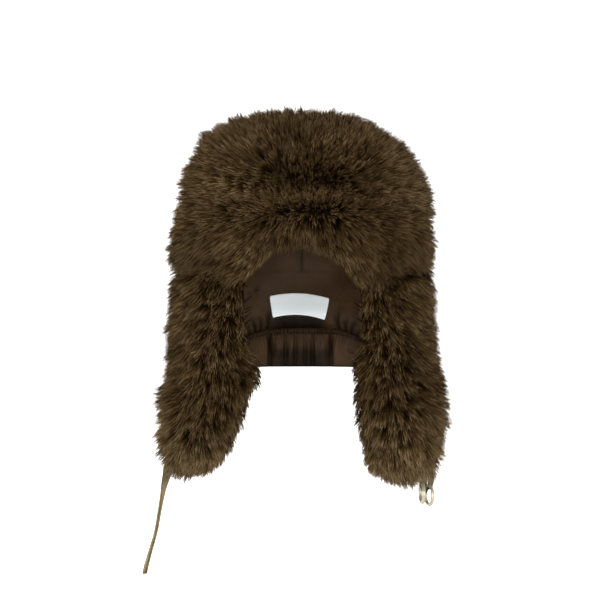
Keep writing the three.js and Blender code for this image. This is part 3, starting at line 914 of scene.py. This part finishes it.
def undercoat(name, surface, inside, inner, ends, depth, close_turn=False):
    """A closed body of dense underfur: the fur's face moved in under the hairs, by seven tenths of their
    roots' depth, with lumps, joined to a face against the lining. It stands for the fur of its name."""
    columns, rows = (84, 26) if close_turn else (60, 32)
    u = np.arange(columns) / columns if close_turn else np.linspace(0, 1, columns)
    u, v = np.meshgrid(u, np.linspace(0, 1, rows))
    points, normals = frame_on(surface, inside, u, v)
    depth = 0.7 * depth * inset_share(points, normals) + 1.6 * waves(points, 14, 5)
    outer = points - normals * depth[..., None]
    if "flap" in name:
        outer = push_out(outer, 4)
    hidden = inner(u, v)
    if ends == "wall":
        rings = np.concatenate([outer, hidden[::-1]], axis=0).transpose(1, 0, 2)
    elif close_turn:
        rings = np.concatenate([outer, hidden[::-1]], axis=0)
    else:
        rings = np.concatenate([outer, hidden[:, ::-1]], axis=1)
    material = shared("underfur", undercoat_material)
    return add_rings(name, rings, ends, material, [name.replace("underfur", "fur")])


def inset_share(points, normals):
    """One, or less where the fur faces the middle of the hat, where it is short."""
    inward = np.clip(-normals[..., 0] * np.sign(points[..., 0]), 0, 1)
    return 1 - 0.7 * inward * (points[..., 2] < 0)


def fur_depths():
    """How deep the roots lie under the dense fur's face, and how far the tips stand out of it."""
    return sizes(bpy.context.scene.hat_fur, "root_depth", "stand_out")


def outside_head(points):
    """Whether points lie outside the linings, or over the brow, before the ear flaps' front edges, or well
    under the nape's hem."""
    y, z = points[..., 1], points[..., 2]
    front = (y < -64) | ((y < -46) & (z < -92))
    return (head_share(points, 3) > 1) | (z > -3) | (z < -122) | front


def clear_of_face(points, room):
    """Whether points leave the face opening free, as the camera in front of the hat looks through it."""
    x, y, z = points[..., 0], points[..., 1], points[..., 2]
    studio = bpy.context.scene.hat_studio
    away, level = sizes(studio, "camera_distance", "camera_height")
    scale = away / (away + y)
    place, height = x * scale, level + (z - level) * scale
    arch = curve(FACE_ARCH, "height", place)
    left, right = curves(FACE_SIDES, "left right", height)
    beside = (place < room - left) | (place > right - room)
    return beside | (height > arch - room) | ((y > -50) & (height > -116))


def clear_of_ring(points, side):
    """Whether points leave the space round the ring loop free."""
    aside = np.abs(points[..., 0] - 125) < 11
    return ~((side > 0) & aside & (points[..., 2] < -229))


def place_hairs(name, parts, lines, tone, rng):
    """Sets the hairs in the scene in a few pieces from front to back, each under the limit on its size."""
    width = 500 * bpy.context.scene.hat_fur.hair_width
    material = shared("fox_fur", fur_material)
    order = np.argsort(lines[:, 0, 1])
    for label, part in zip(parts, np.array_split(order, len(parts))):
        add_hairs(name + label, lines[part], tone[part], width, material, rng)


class HAT_OT_crown_fur(bpy.types.Operator):
    """Builds the crown's underfur and hairs"""

    bl_idname = "hat.crown_fur"
    bl_label = "Crown fur"

    def execute(self, context):
        depth, out = fur_depths()
        depth = 0.85 * depth
        rng = np.random.default_rng(11)

        def inner(u, v):
            form = sizes(context.scene.hat_form, "head_side", "head_front", "head_top")
            edge = curve(CROWN_EDGE, "height", 180 - np.abs(360 * u - 180))
            return dome(360 * u, v, *(size + FUR_GAP for size in form), HEAD_DOME, edge)

        undercoat("crown_underfur", crown_surface, crown_inside, inner, "pole", depth, True)
        count = context.scene.hat_fur.crown_hairs
        u, v = scatter(crown_surface, int(count * 1.4), rng)
        points, normals = frame_on(crown_surface, crown_inside, u, v)
        at = np.abs((360 * u + 180) % 360 - 180)
        hidden = (at < 82) & (points[:, 2] < curve(VISOR, "top", np.minimum(at, VISOR_TURN)) - 5)
        behind = (points[:, 1] > 20) & (rng.random(len(u)) < 0.3)
        keep = np.flatnonzero(~hidden & ~behind)[:count]
        points, normals = points[keep], normals[keep]
        ahead = np.clip(-points[:, 1] / 80, 0, 1)
        fan = stack(points[:, 0] * 0.012, 0, (points[:, 2] - 72) * 0.02)
        back = stack(points[:, 0] * 0.008, points[:, 1] * 0.004, -0.5)
        flow = stray_flow(points, fan * ahead[:, None] + back * (1 - ahead[:, None]), 0.35, 21)
        low = smooth(0.72, 1, v[keep]) * (1 - ahead)
        roots, rise = points - normals * depth, depth + out
        lines, tone = grow_hairs(roots, normals, flow, rise, 9 + 10 * low, rng, pull=0.34, stray=0.11)
        # Pale tips and painted light: the crown's right side is lighter, where the light catches its edge
        pale_tips_and_painted_light = spot(points, 92, 62, 30, 34) * ahead
        tone = np.clip(tone + 0.32 * pale_tips_and_painted_light, 0, 1)
        # Painted shade: the middle of the crown's front is darker, where the hairs point straight forward
        dark = spot(points, 14, 58, 62, 26) * ahead
        tone = tone * (1 - 0.5 * dark)
        wisps = spot(points, -57, 60, 18, 8) * ahead
        tone = np.clip(tone + 0.4 * wisps * (tone > 0.5), 0, 1)
        place_hairs("crown_hairs_", ("front", "back"), lines, tone, rng)
        return {"FINISHED"}


class HAT_OT_visor_fur(bpy.types.Operator):
    """Builds the visor's underfur and hairs"""

    bl_idname = "hat.visor_fur"
    bl_label = "Visor fur"

    def execute(self, context):
        depth, out = fur_depths()
        depth = 0.65 * depth
        rng = np.random.default_rng(12)

        def inner(u, v):
            turn = VISOR_TURN * (2 * u - 1)
            top = curve(VISOR, "top", np.abs(turn))
            bottom = curve(CAP_EDGE, "height", np.abs(turn)) + 2
            return head_wall(turn, top + (bottom - top) * v, FUR_GAP)

        undercoat("visor_underfur", visor_surface, visor_inside, inner, "wall", depth)
        count = context.scene.hat_fur.visor_hairs
        u, v = scatter(visor_surface, count, rng)
        points, normals = frame_on(visor_surface, visor_inside, u, v)
        base = stack(points[:, 0] * 0.014 - 0.2, 0 * u, -1 + 0 * u)
        flow = stray_flow(points, base, 0.4, 31)
        shelf = np.clip(1.2 - 1.5 * np.clip(normals[:, 2], 0, 1), 0, 1)
        slide = 5 + 15 * shelf * (1 - 0.45 * v)
        roots, rise = points - normals * depth, depth + 0.8 * out
        lines, tone = grow_hairs(roots, normals, flow, rise, slide, rng, pull=0.3, stray=0.12)
        # Painted shade: the visor's middle and right side are darker, away from the key light on the left
        dark = spot(points, 15, 34, 50, 20) + 0.7 * spot(points, 78, 8, 34, 26)
        tone = tone * (1 - 0.35 * dark)
        room = rng.normal(1.5, 2.5, len(lines))
        lines, tone = trim(lines, tone, lambda places: clear_of_face(places, room))
        place_hairs("visor_hairs", ("",), lines, tone, rng)
        return {"FINISHED"}


class HAT_OT_flap_fur(bpy.types.Operator):
    """Builds the underfur and hairs of both ear flaps"""

    bl_idname = "hat.flap_fur"
    bl_label = "Ear flap fur"

    def execute(self, context):
        depth, out = fur_depths()
        depth = 0.75 * depth
        for name, rows, side, seed in (("right", RIGHT_FLAP, -1, 13), ("left", LEFT_FLAP, 1, 14)):
            rng = np.random.default_rng(seed)
            surface, inside = flap_surface(rows, side)

            def inner(u, v, rows=rows, side=side):
                height = flap_parts(rows, v)[0]
                front, rear = curves(FLAP_PANEL, "front rear", height)
                place = front + (rear - front) * u
                return stack(side * (form_side(place, height) + 3.6), place, height)

            undercoat(f"ear_flap_{name}_underfur", surface, inside, inner, "pole", depth)
            count = context.scene.hat_fur.flap_hairs
            u, v = scatter(surface, count, rng)
            points, normals = frame_on(surface, inside, u, v)
            inset = depth * inset_share(points, normals)
            inward = np.clip(-normals[:, 0] * side, 0, 1)
            hem = bell(points[:, 2], -108, 20) * (points[:, 1] < -40)
            base = stack(side * (0.35 - (0.8 + hem) * inward - 0.3 * hem), 0 * u, -1 + 0 * u)
            flow = stray_flow(points, base, 0.35, 41 + seed)
            rise = inset + out * (1 - 0.5 * inward)
            roots = points - normals * inset[:, None]
            lines, tone = grow_hairs(roots, normals, flow, rise, 13, rng, pull=0.45, stray=0.13)
            # Paler towards the flaps' feet: partly paler hair tips, partly painted light for the thin tips
            # lit from behind along the lower edge
            pale_tips_and_painted_light = np.clip((-150 - lines[:, -1, 2]) / 60, 0, 1)
            tone = np.clip(tone + 0.5 * pale_tips_and_painted_light, 0, 1)
            room = rng.normal(-0.5, 2.2, len(lines))

            def allowed(at, side=side, room=room):
                return outside_head(at) & clear_of_face(at, room) & clear_of_ring(at, side)

            lines, tone = trim(lines, tone, allowed)
            place_hairs(f"ear_flap_{name}_hairs", ("",), lines, tone, rng)
        return {"FINISHED"}


class HAT_OT_nape_fur(bpy.types.Operator):
    """Builds the nape's underfur and hairs"""

    bl_idname = "hat.nape_fur"
    bl_label = "Nape fur"

    def execute(self, context):
        depth, out = fur_depths()
        rng = np.random.default_rng(15)

        def inner(u, v):
            return head_wall(180 + NAPE_TURN * (2 * u - 1), NAPE_FUR_TOP - 88 * v, FUR_GAP)

        undercoat("nape_underfur", nape_surface, nape_inside, inner, "wall", depth)
        count = context.scene.hat_fur.nape_hairs
        u, v = scatter(nape_surface, count, rng)
        points, normals = frame_on(nape_surface, nape_inside, u, v)
        flow = stray_flow(points, stack(0 * u, 0 * u, -1 + 0 * u), 0.3, 51)
        roots, rise = points - normals * depth, depth + out
        lines, tone = grow_hairs(roots, normals, flow, rise, 14, rng, pull=0.6, stray=0.11)
        foot = rng.normal(-117, 1.5, len(lines))
        lines, tone = trim(lines, tone, lambda places: (places[:, 2] > foot) & outside_head(places))
        place_hairs("nape_hairs", ("",), lines, tone, rng)
        return {"FINISHED"}


# Linings


def panel_turn(share, height):
    """The turn at a share of the way from the middle of the nape to an ear flap's rear edge."""
    rear = curve(FLAP_PANEL, "rear", height) + 0.5
    back = curve(SKIRT_FORM, "back", height)
    reach = 180 - np.degrees(np.arccos((rear / back) ** 1.15))
    return 180 + share * (180 - reach)


def elastic_height(share):
    """The height of the elastic's middle line, the same to both sides."""
    return curve(ELASTIC_LINE, "height", np.abs(share))


def creases(share, climb):
    """How deep the lining's creases are, from 0 to 1, by the share of the way to an ear flap and the climb
    from the elastic: each a bell across its leaning line, that fades as it climbs."""
    place = np.abs(share) * NAPE_HALF * (1 + 0.04 * np.sign(share))
    deep = sum(
        bell(place, row["place"] + row["lean"] * climb, row["width"] * (1 + climb / 20))
        * (1 - smooth(0.3 * row["climb"], row["climb"], climb))
        for row in SIDE_CREASES
    )
    return np.clip(deep, 0, 1)


def puff_swell(share, fall):
    """How far the lining swells in: most in the middle of the nape and low over the elastic."""
    puff = 1000 * bpy.context.scene.hat_lining.puff
    return puff * np.sin(np.pi * fall**2.1) * (0.75 + 0.25 * np.cos(np.pi * share))


def puff_depth(share, fall, height):
    """How far the lining stands in: its swell, less its creases, with a fine ruffle and a tucked foot."""
    fall = np.clip(fall, 0, 1)
    ends = 1 - np.abs(share) ** 6
    valleys = 3 * creases(share, 60 * (1 - fall)) * (1 - fall**9)
    ruffle = 0.35 * np.sin(150 * share + 2 * np.sin(17 * share)) * smooth(0.8, 0.95, fall)
    return np.maximum(ends * (puff_swell(share, fall) - valleys - ruffle - 4 * fall**9), -2)


def puff_shade(share, fall, place):
    """Painted shade: the lining is darker in the recess under the label and in its creases; the seam over
    the label is a darker line.
    """
    under_label = smooth(0.7, 0.82, fall) * bell(place, -3, 31, 6)
    seam = bell(fall, 0.033, 0.013) * (np.abs(place) < 6.5)
    return (1 - 0.85 * under_label) * (1 - 0.8 * creases(share, 60 * (1 - fall))) * (1 - 0.5 * seam)


def fold_depth(share, fall, height):
    """How far the hem's cloth stands in: its belly, less the gathers' folds, with fine pleats on top."""
    place = head_wall(panel_turn(share, height), height, 0)[..., 0]
    stand = sum(row["depth"] * bell(place, row["place"], row["width"]) for row in GATHERS)
    pleats = 0.6 * np.cos(2 * np.pi * place / 3.4 + 2 * waves(stack(place, height, 0), 30, 6))
    belly = np.sin(np.pi * fall**0.8)
    return 5.5 * belly - 1.3 * stand * (0.25 + 0.75 * belly) + pleats * (1 - fall) ** 1.5


def fold_shade(share, fall, place):
    """Painted shade: the hem's cloth is darker in its narrow folds, in the middle below, where it turns
    away, and along its foot; the whole is lifted by a tenth, painted light for its lit side pockets.
    """
    narrow = [row for row in GATHERS if row["width"] < 5]
    dark = sum(0.11 * row["depth"] * bell(place, row["place"], 0.7 * row["width"]) for row in narrow)
    low = smooth(0.28, 0.62, fall) * bell(place, -1, 31, 8)
    foot = smooth(0.86, 0.98, fall)
    return (1 - np.clip(dark, 0, 0.85)) * (1 - 0.8 * low) * (1 - 0.6 * foot) * 1.1


def inflate(piece, held, pressure, reach):
    """Swells a closed piece with the cloth simulation: air pushes from within, the held corners stay, the
    others are drawn back to the reach, in millimetres, and the result is applied to the mesh."""
    scene = bpy.context.scene
    piece.vertex_groups.new(name="held").add(held.tolist(), 1, "REPLACE")
    cloth = piece.modifiers.new("air", "CLOTH")
    cloth.settings.vertex_group_mass = "held"
    cloth.settings.use_pressure = True
    cloth.settings.uniform_pressure_force = pressure
    cloth.settings.effector_weights.gravity = 0
    cloth.point_cache.frame_start = 1
    cloth.point_cache.frame_end = CLOTH_FRAMES
    rest = np.empty(3 * len(piece.data.vertices), np.float32)
    made = np.empty_like(rest)
    piece.data.vertices.foreach_get("co", rest)
    for step in range(1, CLOTH_FRAMES + 1):
        scene.frame_set(step)
    swollen = piece.evaluated_get(bpy.context.evaluated_depsgraph_get())
    swollen.data.vertices.foreach_get("co", made)
    move = (made - rest).reshape(-1, 3)
    size = np.linalg.norm(move, axis=1, keepdims=True)
    move = move * np.minimum(1, 0.001 * reach / np.maximum(size, 1e-9))
    piece.modifiers.remove(cloth)
    piece.vertex_groups.clear()
    scene.frame_set(1)
    piece.data.vertices.foreach_set("co", rest + move.ravel())
    piece.data.update()


def nape_wall(name, counts, top, bottom, inwards, shading, wall):
    """A wall across the nape between two height functions, moved in by inwards(share, fall, height), its
    cloth darker where shading(share, fall, place) is low."""
    share, fall = np.meshgrid(np.linspace(-1, 1, counts[0]), np.linspace(0, 1, counts[1]))
    height = top(share) + (bottom(share) - top(share)) * fall
    move = inwards(share, fall, height)
    turn = panel_turn(share, height)
    outer, inner = (head_wall(turn, height, offset - move) for offset in (wall, 0))
    rings = np.concatenate([outer, inner[::-1]], axis=0).transpose(1, 0, 2)
    shade = shading(share, fall, inner[..., 0])
    shades = {"shade": np.concatenate([shade, shade[::-1]], axis=0).T}
    satin = shared("brown_satin", satin_material)
    return add_rings(name, rings, "wall", satin, [name[: -len("_cloth")]], shades)


def cap_lining():
    """The cap's lining: a dome with four padded panels inside, and a darker seam down its back."""
    form = bpy.context.scene.hat_form
    wall = 1000 * form.lining_wall
    side, front, top = sizes(form, "head_side", "head_front", "head_top")
    station = np.linspace(-1, 1, 121)[:-1]
    turn, share = np.meshgrid(180 + 180 * power(station, 1.4), np.linspace(0.01, 1, 44))
    edge = curve(CAP_EDGE, "height", np.minimum(turn % 360, 360 - turn % 360))
    seams = 1 - np.exp(-np.abs(np.sin(np.radians(2 * turn))) * 9)
    swell = 2.2 * seams * np.sin(np.pi * np.clip(share, 0, 1)) ** 0.4
    place = dome(turn, share, side, front, top, HEAD_DOME, edge)
    swell = np.clip(swell + 0.6 * waves(place, 30, 3), 0, 3) * np.clip((1 - share) * 12, 0, 1)
    outer = dome(turn, share, side + wall, front + wall, top + wall, HEAD_DOME, edge)
    inner = dome(turn, share, side - swell, front - swell, top - swell, HEAD_DOME, edge)
    rings = np.concatenate([outer, inner[::-1]], axis=0)
    behind = np.cos(np.radians(turn)) < 0
    shade = 1 - 0.62 * bell(np.tan(np.radians((turn - 180) / 2)), 0, 0.0045) * behind
    shades = {"shade": np.concatenate([shade, shade[::-1]], axis=0)}
    satin = shared("brown_satin", satin_material)
    cap = add_rings("cap_lining_cloth", rings, "pole", satin, ["cap_lining"], shades)


def flap_pad(name, side):
    """An ear flap's lining: a thin padded panel on the head form, whose inner face the air swells."""
    wall = 1000 * bpy.context.scene.hat_form.lining_wall
    fall, across = np.meshgrid(np.linspace(0, 1, 50), np.linspace(0, 1, 28), indexing="ij")
    height = PAD_TOP + (FLAP_PANEL[-1]["height"] + 0.4 - PAD_TOP) * fall
    front, rear = curves(FLAP_PANEL, "front rear", height)
    depth = front + (rear - front) * across
    place = form_side(depth, height)
    cushion = (np.sin(np.pi * across) * np.sin(np.pi * np.clip(fall, 0, 1))) ** 0.35
    lumps = waves(stack(place, depth, height), 30, 8 + side)
    edge = 1.1 * (1 - cushion)
    inner = stack(side * (place - cushion * (1.1 + 0.5 * lumps) + edge), depth, height)
    outer = stack(side * (place + wall - edge), depth, height)
    rings = np.concatenate([outer, inner[:, ::-1]], axis=1)
    shade = {"shade": np.ones(rings.shape[:2])}
    satin = shared("brown_satin", satin_material)
    replaced = [f"ear_flap_{name}_lining"]
    pad = add_rings(f"ear_flap_{name}_pad", rings, "wall", satin, replaced, shade)
    corners = np.arange(rings.shape[0] * rings.shape[1]).reshape(rings.shape[:2])
    free = corners[2:-2, 30:-2]
    inflate(pad, np.setdiff1d(corners, free), pressure=4, reach=2.4)


def elastic_channel():
    """The ruffled channel round the elastic, with painted shade where its cloth folds in and on its
    underside, and painted light along its top.
    """
    share, angle = np.meshgrid(
        np.linspace(-0.985, 0.985, 360), np.radians(np.arange(0, 360, 30)), indexing="ij"
    )
    ruffle = 0.6 * np.sin(54 * np.pi * share + 1.5 * np.sin(23 * share))
    ruffle = ruffle + 0.25 * np.sin(31 * np.pi * share)
    depth = -0.6 + (2 + ruffle) * np.cos(angle)
    middle = elastic_height(share)
    height = middle + (2.7 + 0.3 * ruffle) * np.sin(angle)
    rings = head_wall(panel_turn(share, middle), height, depth)
    # Painted shade and light: darker in the ruffle's folds and underneath, lighter along the top
    shade = {"shade": np.clip(0.5 + 0.3 * ruffle + 0.25 * np.sin(angle), 0.05, 1)}
    satin = shared("brown_satin", satin_material)
    add_rings("elastic_channel_cloth", rings, "pole", satin, ["elastic_channel"], shade)


class HAT_OT_linings(bpy.types.Operator):
    """Builds the cap's lining, the ear flaps' linings and the nape's lining with its elastic and hem"""

    bl_idname = "hat.linings"
    bl_label = "Linings"

    def execute(self, context):
        def puff_top(share):
            return np.full_like(share, NAPE_TOP)

        def puff_foot(share):
            return elastic_height(share) + OVER_ELASTIC

        def hem_top(share):
            return elastic_height(share) - UNDER_ELASTIC

        def hem_foot(share):
            return np.full_like(share, HEM_FOOT)

        cap_lining()
        flap_pad("right", -1)
        flap_pad("left", 1)
        heights, looks = (puff_top, puff_foot), (puff_depth, puff_shade)
        nape = nape_wall("nape_lining_cloth", (200, 46), *heights, *looks, wall=2.4)
        heights, looks = (hem_top, hem_foot), (fold_depth, fold_shade)
        hem = nape_wall("gathered_hem_cloth", (300, 28), *heights, *looks, wall=1.2)
        elastic_channel()
        return {"FINISHED"}


class HAT_OT_label(bpy.types.Operator):
    """Builds the blank woven label"""

    bl_idname = "hat.label"
    bl_label = "Label"

    def execute(self, context):
        width, middle = sizes(context.scene.hat_lining, "label_width", "label_place")
        station, fall = np.meshgrid(np.linspace(0, 1, 48), np.linspace(0, 1, 20), indexing="ij")
        bow = -4 * (2 * station - 1) ** 2 - 2.4 * (station - 0.5)
        height = -43 - 22.5 * fall + bow
        corner = 1 - 0.03 * (2 * fall - 1) ** 8
        across = middle - 0.8 * fall + width * (station - 0.5) * (1 - 0.13 * fall) * corner
        back = head_wall(np.full_like(height, 180), height, 0)[..., 1]
        depth = np.minimum(head_wall(180 - 55 * across / 80, height, 0)[..., 1], back)
        share = np.abs(across) / NAPE_HALF
        drop = np.clip((NAPE_TOP - height) / (NAPE_TOP - elastic_height(share) - OVER_ELASTIC), 0, 1)
        swell = puff_swell(share, np.minimum(drop, 0.88))
        outer, inner = (stack(across, depth - swell - stand, height) for stand in (1.2, 2.0))
        rings = np.concatenate([outer, inner[:, ::-1]], axis=1)
        ribbon = shared("woven_label", label_material)
        label = add_rings("label_cloth", rings, "wall", ribbon, ["label"])
        return {"FINISHED"}


# Strap, loop and rings


class HAT_OT_tie_strap(bpy.types.Operator):
    """Builds the suede tie strap"""

    bl_idname = "hat.tie_strap"
    bl_label = "Tie strap"

    def execute(self, context):
        width, thickness = sizes(context.scene.hat_trim, "tie_width", "tie_thickness")
        height = np.linspace(TIE[0]["height"], TIE[-1]["height"], 160)[:, None]
        place, curl, turn, size = curves(TIE, "place curl turn width", height)
        edge = np.linspace(-0.5, 0.5, 18)
        strip = np.concatenate([edge, edge[::-1]])[None, :]
        face = np.concatenate([np.full(18, 0.5), np.full(18, -0.5)])[None, :]
        bend = np.radians(curl)
        radius = width * (size / TIE[0]["width"]) / bend
        angle = strip * bend
        reach = radius + face * thickness
        middle = radius * np.sin(bend / 2) / (bend / 2)
        x, y = reach * np.sin(angle), reach * np.cos(angle) - middle
        x, y = turned(x, y, np.radians(turn + 25 * np.sin((height + 200) / 26)))
        rings = stack(place + x, LOOP["depth"] + y, height)
        suede = shared("olive_suede", suede_material)
        # Painted shade: the strap is darker at its top, where it comes out from under the ear flap's fur;
        # it is also darker at its very end
        dark = 0.38 + 0.62 * smooth(-225, -243, height) - 0.5 * smooth(-319, -323, height)
        shade = {"shade": dark * np.ones(rings.shape[:2])}
        add_rings("tie_strap_suede", rings, "wall", suede, ["tie_strap"], shade)
        return {"FINISHED"}


class HAT_OT_ring_loop(bpy.types.Operator):
    """Builds the suede loop and the two rings that hang in it"""

    bl_idname = "hat.ring_loop"
    bl_label = "Ring loop"

    def execute(self, context):
        place, depth, low, bowl, rise, loop_turn = LOOP.values()
        t = np.linspace(0, 1, 40)
        down_x = (1 - t) ** 2 * 1.6 + 2 * t * (1 - t) * bowl + t * t * bowl
        down_z = (1 - t) ** 2 * rise + 2 * t * (1 - t) * rise * 0.45
        round_by = np.linspace(0, -np.pi, 60)[1:-1]
        x = np.concatenate([down_x, bowl * np.cos(round_by), -down_x[::-1]])
        x = x * np.where(x > 0, 0.52, 0.56)
        z = np.concatenate([down_z, bowl * np.sin(round_by), down_z[::-1]])
        z = z * np.where(z < 0, 1 + 0.75 * smooth(-0.5, 2.5, -x), 1)
        path = stack(x, 0, z)
        along = unit(np.gradient(path, axis=0))
        out = stack(-along[:, 2], 0, along[:, 0])
        corner = np.radians(np.arange(0, 360, 15))
        thick = 0.9 * power(np.cos(corner), 0.5)
        wide = 2.2 * power(np.sin(corner), 0.5)
        swell = np.sin(np.pi * np.clip((z + 13) / 28, 0, 1)) ** np.where(x < 0, 1.2, 2)
        full = 1.3 + np.where(x < 0, 3.4, 2.3) * swell * smooth(0, 3, np.abs(x))
        rings = path[:, None] + out[:, None] * thick[None, :, None] * full[:, None, None]
        rings = rings + np.array([0, 1, 0]) * wide[None, :, None]
        x, y = turned(rings[..., 0], rings[..., 1], math.radians(loop_turn))
        rings = stack(place + x, depth + y, low + rings[..., 2])
        suede = shared("olive_suede", suede_material)
        # Painted shade: the loop is darkest low down, inside the rings, and lighter towards its top
        painted_loop_shade = 0.14 + 0.36 * smooth(-10, -1, z)
        shade = {"shade": painted_loop_shade[:, None] * np.ones(rings.shape[:2])}
        add_rings("ring_loop_suede", rings, "pole", suede, ["ring_loop"], shade)

        radius, wire = sizes(context.scene.hat_trim, "ring_radius", "ring_wire")
        around = np.radians(np.arange(0, 360, 5))[:, None]
        about = np.radians(np.arange(0, 360, 20))
        reach = radius + wire * np.cos(about)
        gold = shared("pale_gold", ring_material)
        for row in RINGS:
            x, y = turned(wire * np.sin(about), reach * np.sin(around), math.radians(row["turn"]))
            height = low - row["drop"] - radius + reach * np.cos(around)
            rings = stack(place + row["aside"] + x, depth + y, height)
            add_rings(f"{row['name']}_gold", rings, "torus", gold, [row["name"]])
        return {"FINISHED"}


# Studio


def add_light(name, place, target, size, energy):
    data = bpy.data.lights.new(name, "AREA")
    data.shape = "DISK"
    data.size = size
    data.energy = energy
    light = bpy.data.objects.new(name, data)
    light.location = place
    light.rotation_euler = (Vector(target) - Vector(place)).to_track_quat("-Z", "Y").to_euler()
    bpy.context.scene.collection.objects.link(light)


class HAT_OT_studio(bpy.types.Operator):
    """Builds the pale floor, which glows behind the hat, the lights and the camera"""

    bl_idname = "hat.studio"
    bl_label = "Studio"

    def execute(self, context):
        scene = context.scene
        studio = scene.hat_studio
        material, tree, shader = new_material("pale_floor", Roughness=0.9, Specular_IOR_Level=0.1)
        tint = studio.floor_colour
        paint(tree, shader, ramp(tree, object_noise(tree, 3), [(0.3, tinted(tint, 0.99)), (0.7, tint)]))
        # Painted light: the floor glows, faintly in front and fully behind, and lights the hat from behind
        shader.inputs["Emission Color"].default_value = (1, 1, 1, 1)
        parts = add_node(tree, "ShaderNodeSeparateXYZ", [("Vector", object_place(tree))])
        behind = add_node(tree, "ShaderNodeMapRange", [("Value", parts.outputs["Y"])])
        for key, value in (("From Min", 1.0), ("From Max", 4.0), ("To Min", 0.05), ("To Max", 1.0)):
            behind.inputs[key].default_value = value
        tree.links.new(behind.outputs["Result"], shader.inputs["Emission Strength"])
        angle = np.radians(np.arange(0, 360, 5))
        share = np.linspace(0, 1, 24)[1:]
        out = 4 + 2 * np.sin(np.radians(90 * share))
        up = 2 * (1 - np.cos(np.radians(90 * share)))
        radii = np.concatenate([[0.02, 2, 4], out, [6]])
        heights = np.concatenate([[0, 0, 0], up, [5]]) + studio.floor_height
        rings = stack(
            radii[:, None] * np.cos(angle), radii[:, None] * np.sin(angle), heights[:, None] + 0 * angle
        )
        mesh = bpy.data.meshes.new("floor")
        count = rings.shape[:2]
        faces = ring_faces(*count, "pole")[0]
        mesh.from_pydata(rings.reshape(-1, 3).tolist(), [], faces.tolist())
        mesh.materials.append(material)
        mesh.polygons.foreach_set("use_smooth", np.ones(len(mesh.polygons), bool))
        floor = bpy.data.objects.new("floor", mesh)
        scene.collection.objects.link(floor)

        add_light("front", (0, -2.7, -0.25), (0, 0, -0.05), 0.9, 52)
        add_light("key", (-1.3, -2.0, 0.5), (0, 0, -0.05), 1.2, 36)
        add_light("fill", (1.4, -2.2, -0.3), (0, 0, -0.05), 1.2, 22)
        add_light("top", (0.1, 0.5, 2.0), (0, 0, 0), 1.4, 8)
        world = bpy.data.worlds.new("studio_air")
        world.use_nodes = True
        world.node_tree.nodes["Background"].inputs["Color"].default_value = (1, 1, 1, 1)
        world.node_tree.nodes["Background"].inputs["Strength"].default_value = 0.42
        scene.world = world
        scene.view_settings.view_transform = "Standard"

        data = bpy.data.cameras.new("camera")
        data.lens = studio.camera_lens
        data.clip_end = 50
        camera = bpy.data.objects.new("camera", data)
        camera.location = (-0.002, -studio.camera_distance, studio.camera_height)
        camera.rotation_euler = (math.radians(90), 0, 0)
        scene.collection.objects.link(camera)
        scene.camera = camera
        return {"FINISHED"}


class HAT_PT_panel(bpy.types.Panel):
    """Lists the hat's pieces and its studio"""

    bl_label = "Fur Hat"
    bl_idname = "HAT_PT_panel"
    bl_space_type = "VIEW_3D"
    bl_region_type = "UI"
    bl_category = "Fur Hat"

    def draw(self, context):
        for piece in PIECES:
            self.layout.operator(piece.bl_idname)
        for key in GROUPS:
            box = self.layout.box()
            group = getattr(context.scene, key)
            for name in group.bl_rna.properties.keys():
                if name not in ("rna_type", "name"):
                    box.prop(group, name)


GROUPS = {
    "hat_form": HatFormSizes,
    "hat_fur": HatFurSizes,
    "hat_lining": HatLiningSizes,
    "hat_trim": HatTrimSizes,
    "hat_studio": HatStudioSizes,
}
PIECES = (
    HAT_OT_studio,
    HAT_OT_crown_fur,
    HAT_OT_visor_fur,
    HAT_OT_flap_fur,
    HAT_OT_nape_fur,
    HAT_OT_linings,
    HAT_OT_label,
    HAT_OT_tie_strap,
    HAT_OT_ring_loop,
)


def register():
    for item in (*GROUPS.values(), *PIECES, HAT_PT_panel):
        bpy.utils.register_class(item)
    for key, group in GROUPS.items():
        setattr(bpy.types.Scene, key, PointerProperty(type=group))


def unregister():
    for key in GROUPS:
        delattr(bpy.types.Scene, key)
    for item in reversed((*GROUPS.values(), *PIECES, HAT_PT_panel)):
        bpy.utils.unregister_class(item)


def main():
    register()
    for piece in PIECES:
        group, name = piece.bl_idname.split(".")
        getattr(getattr(bpy.ops, group), name)()


if __name__ == "__main__":
    main()
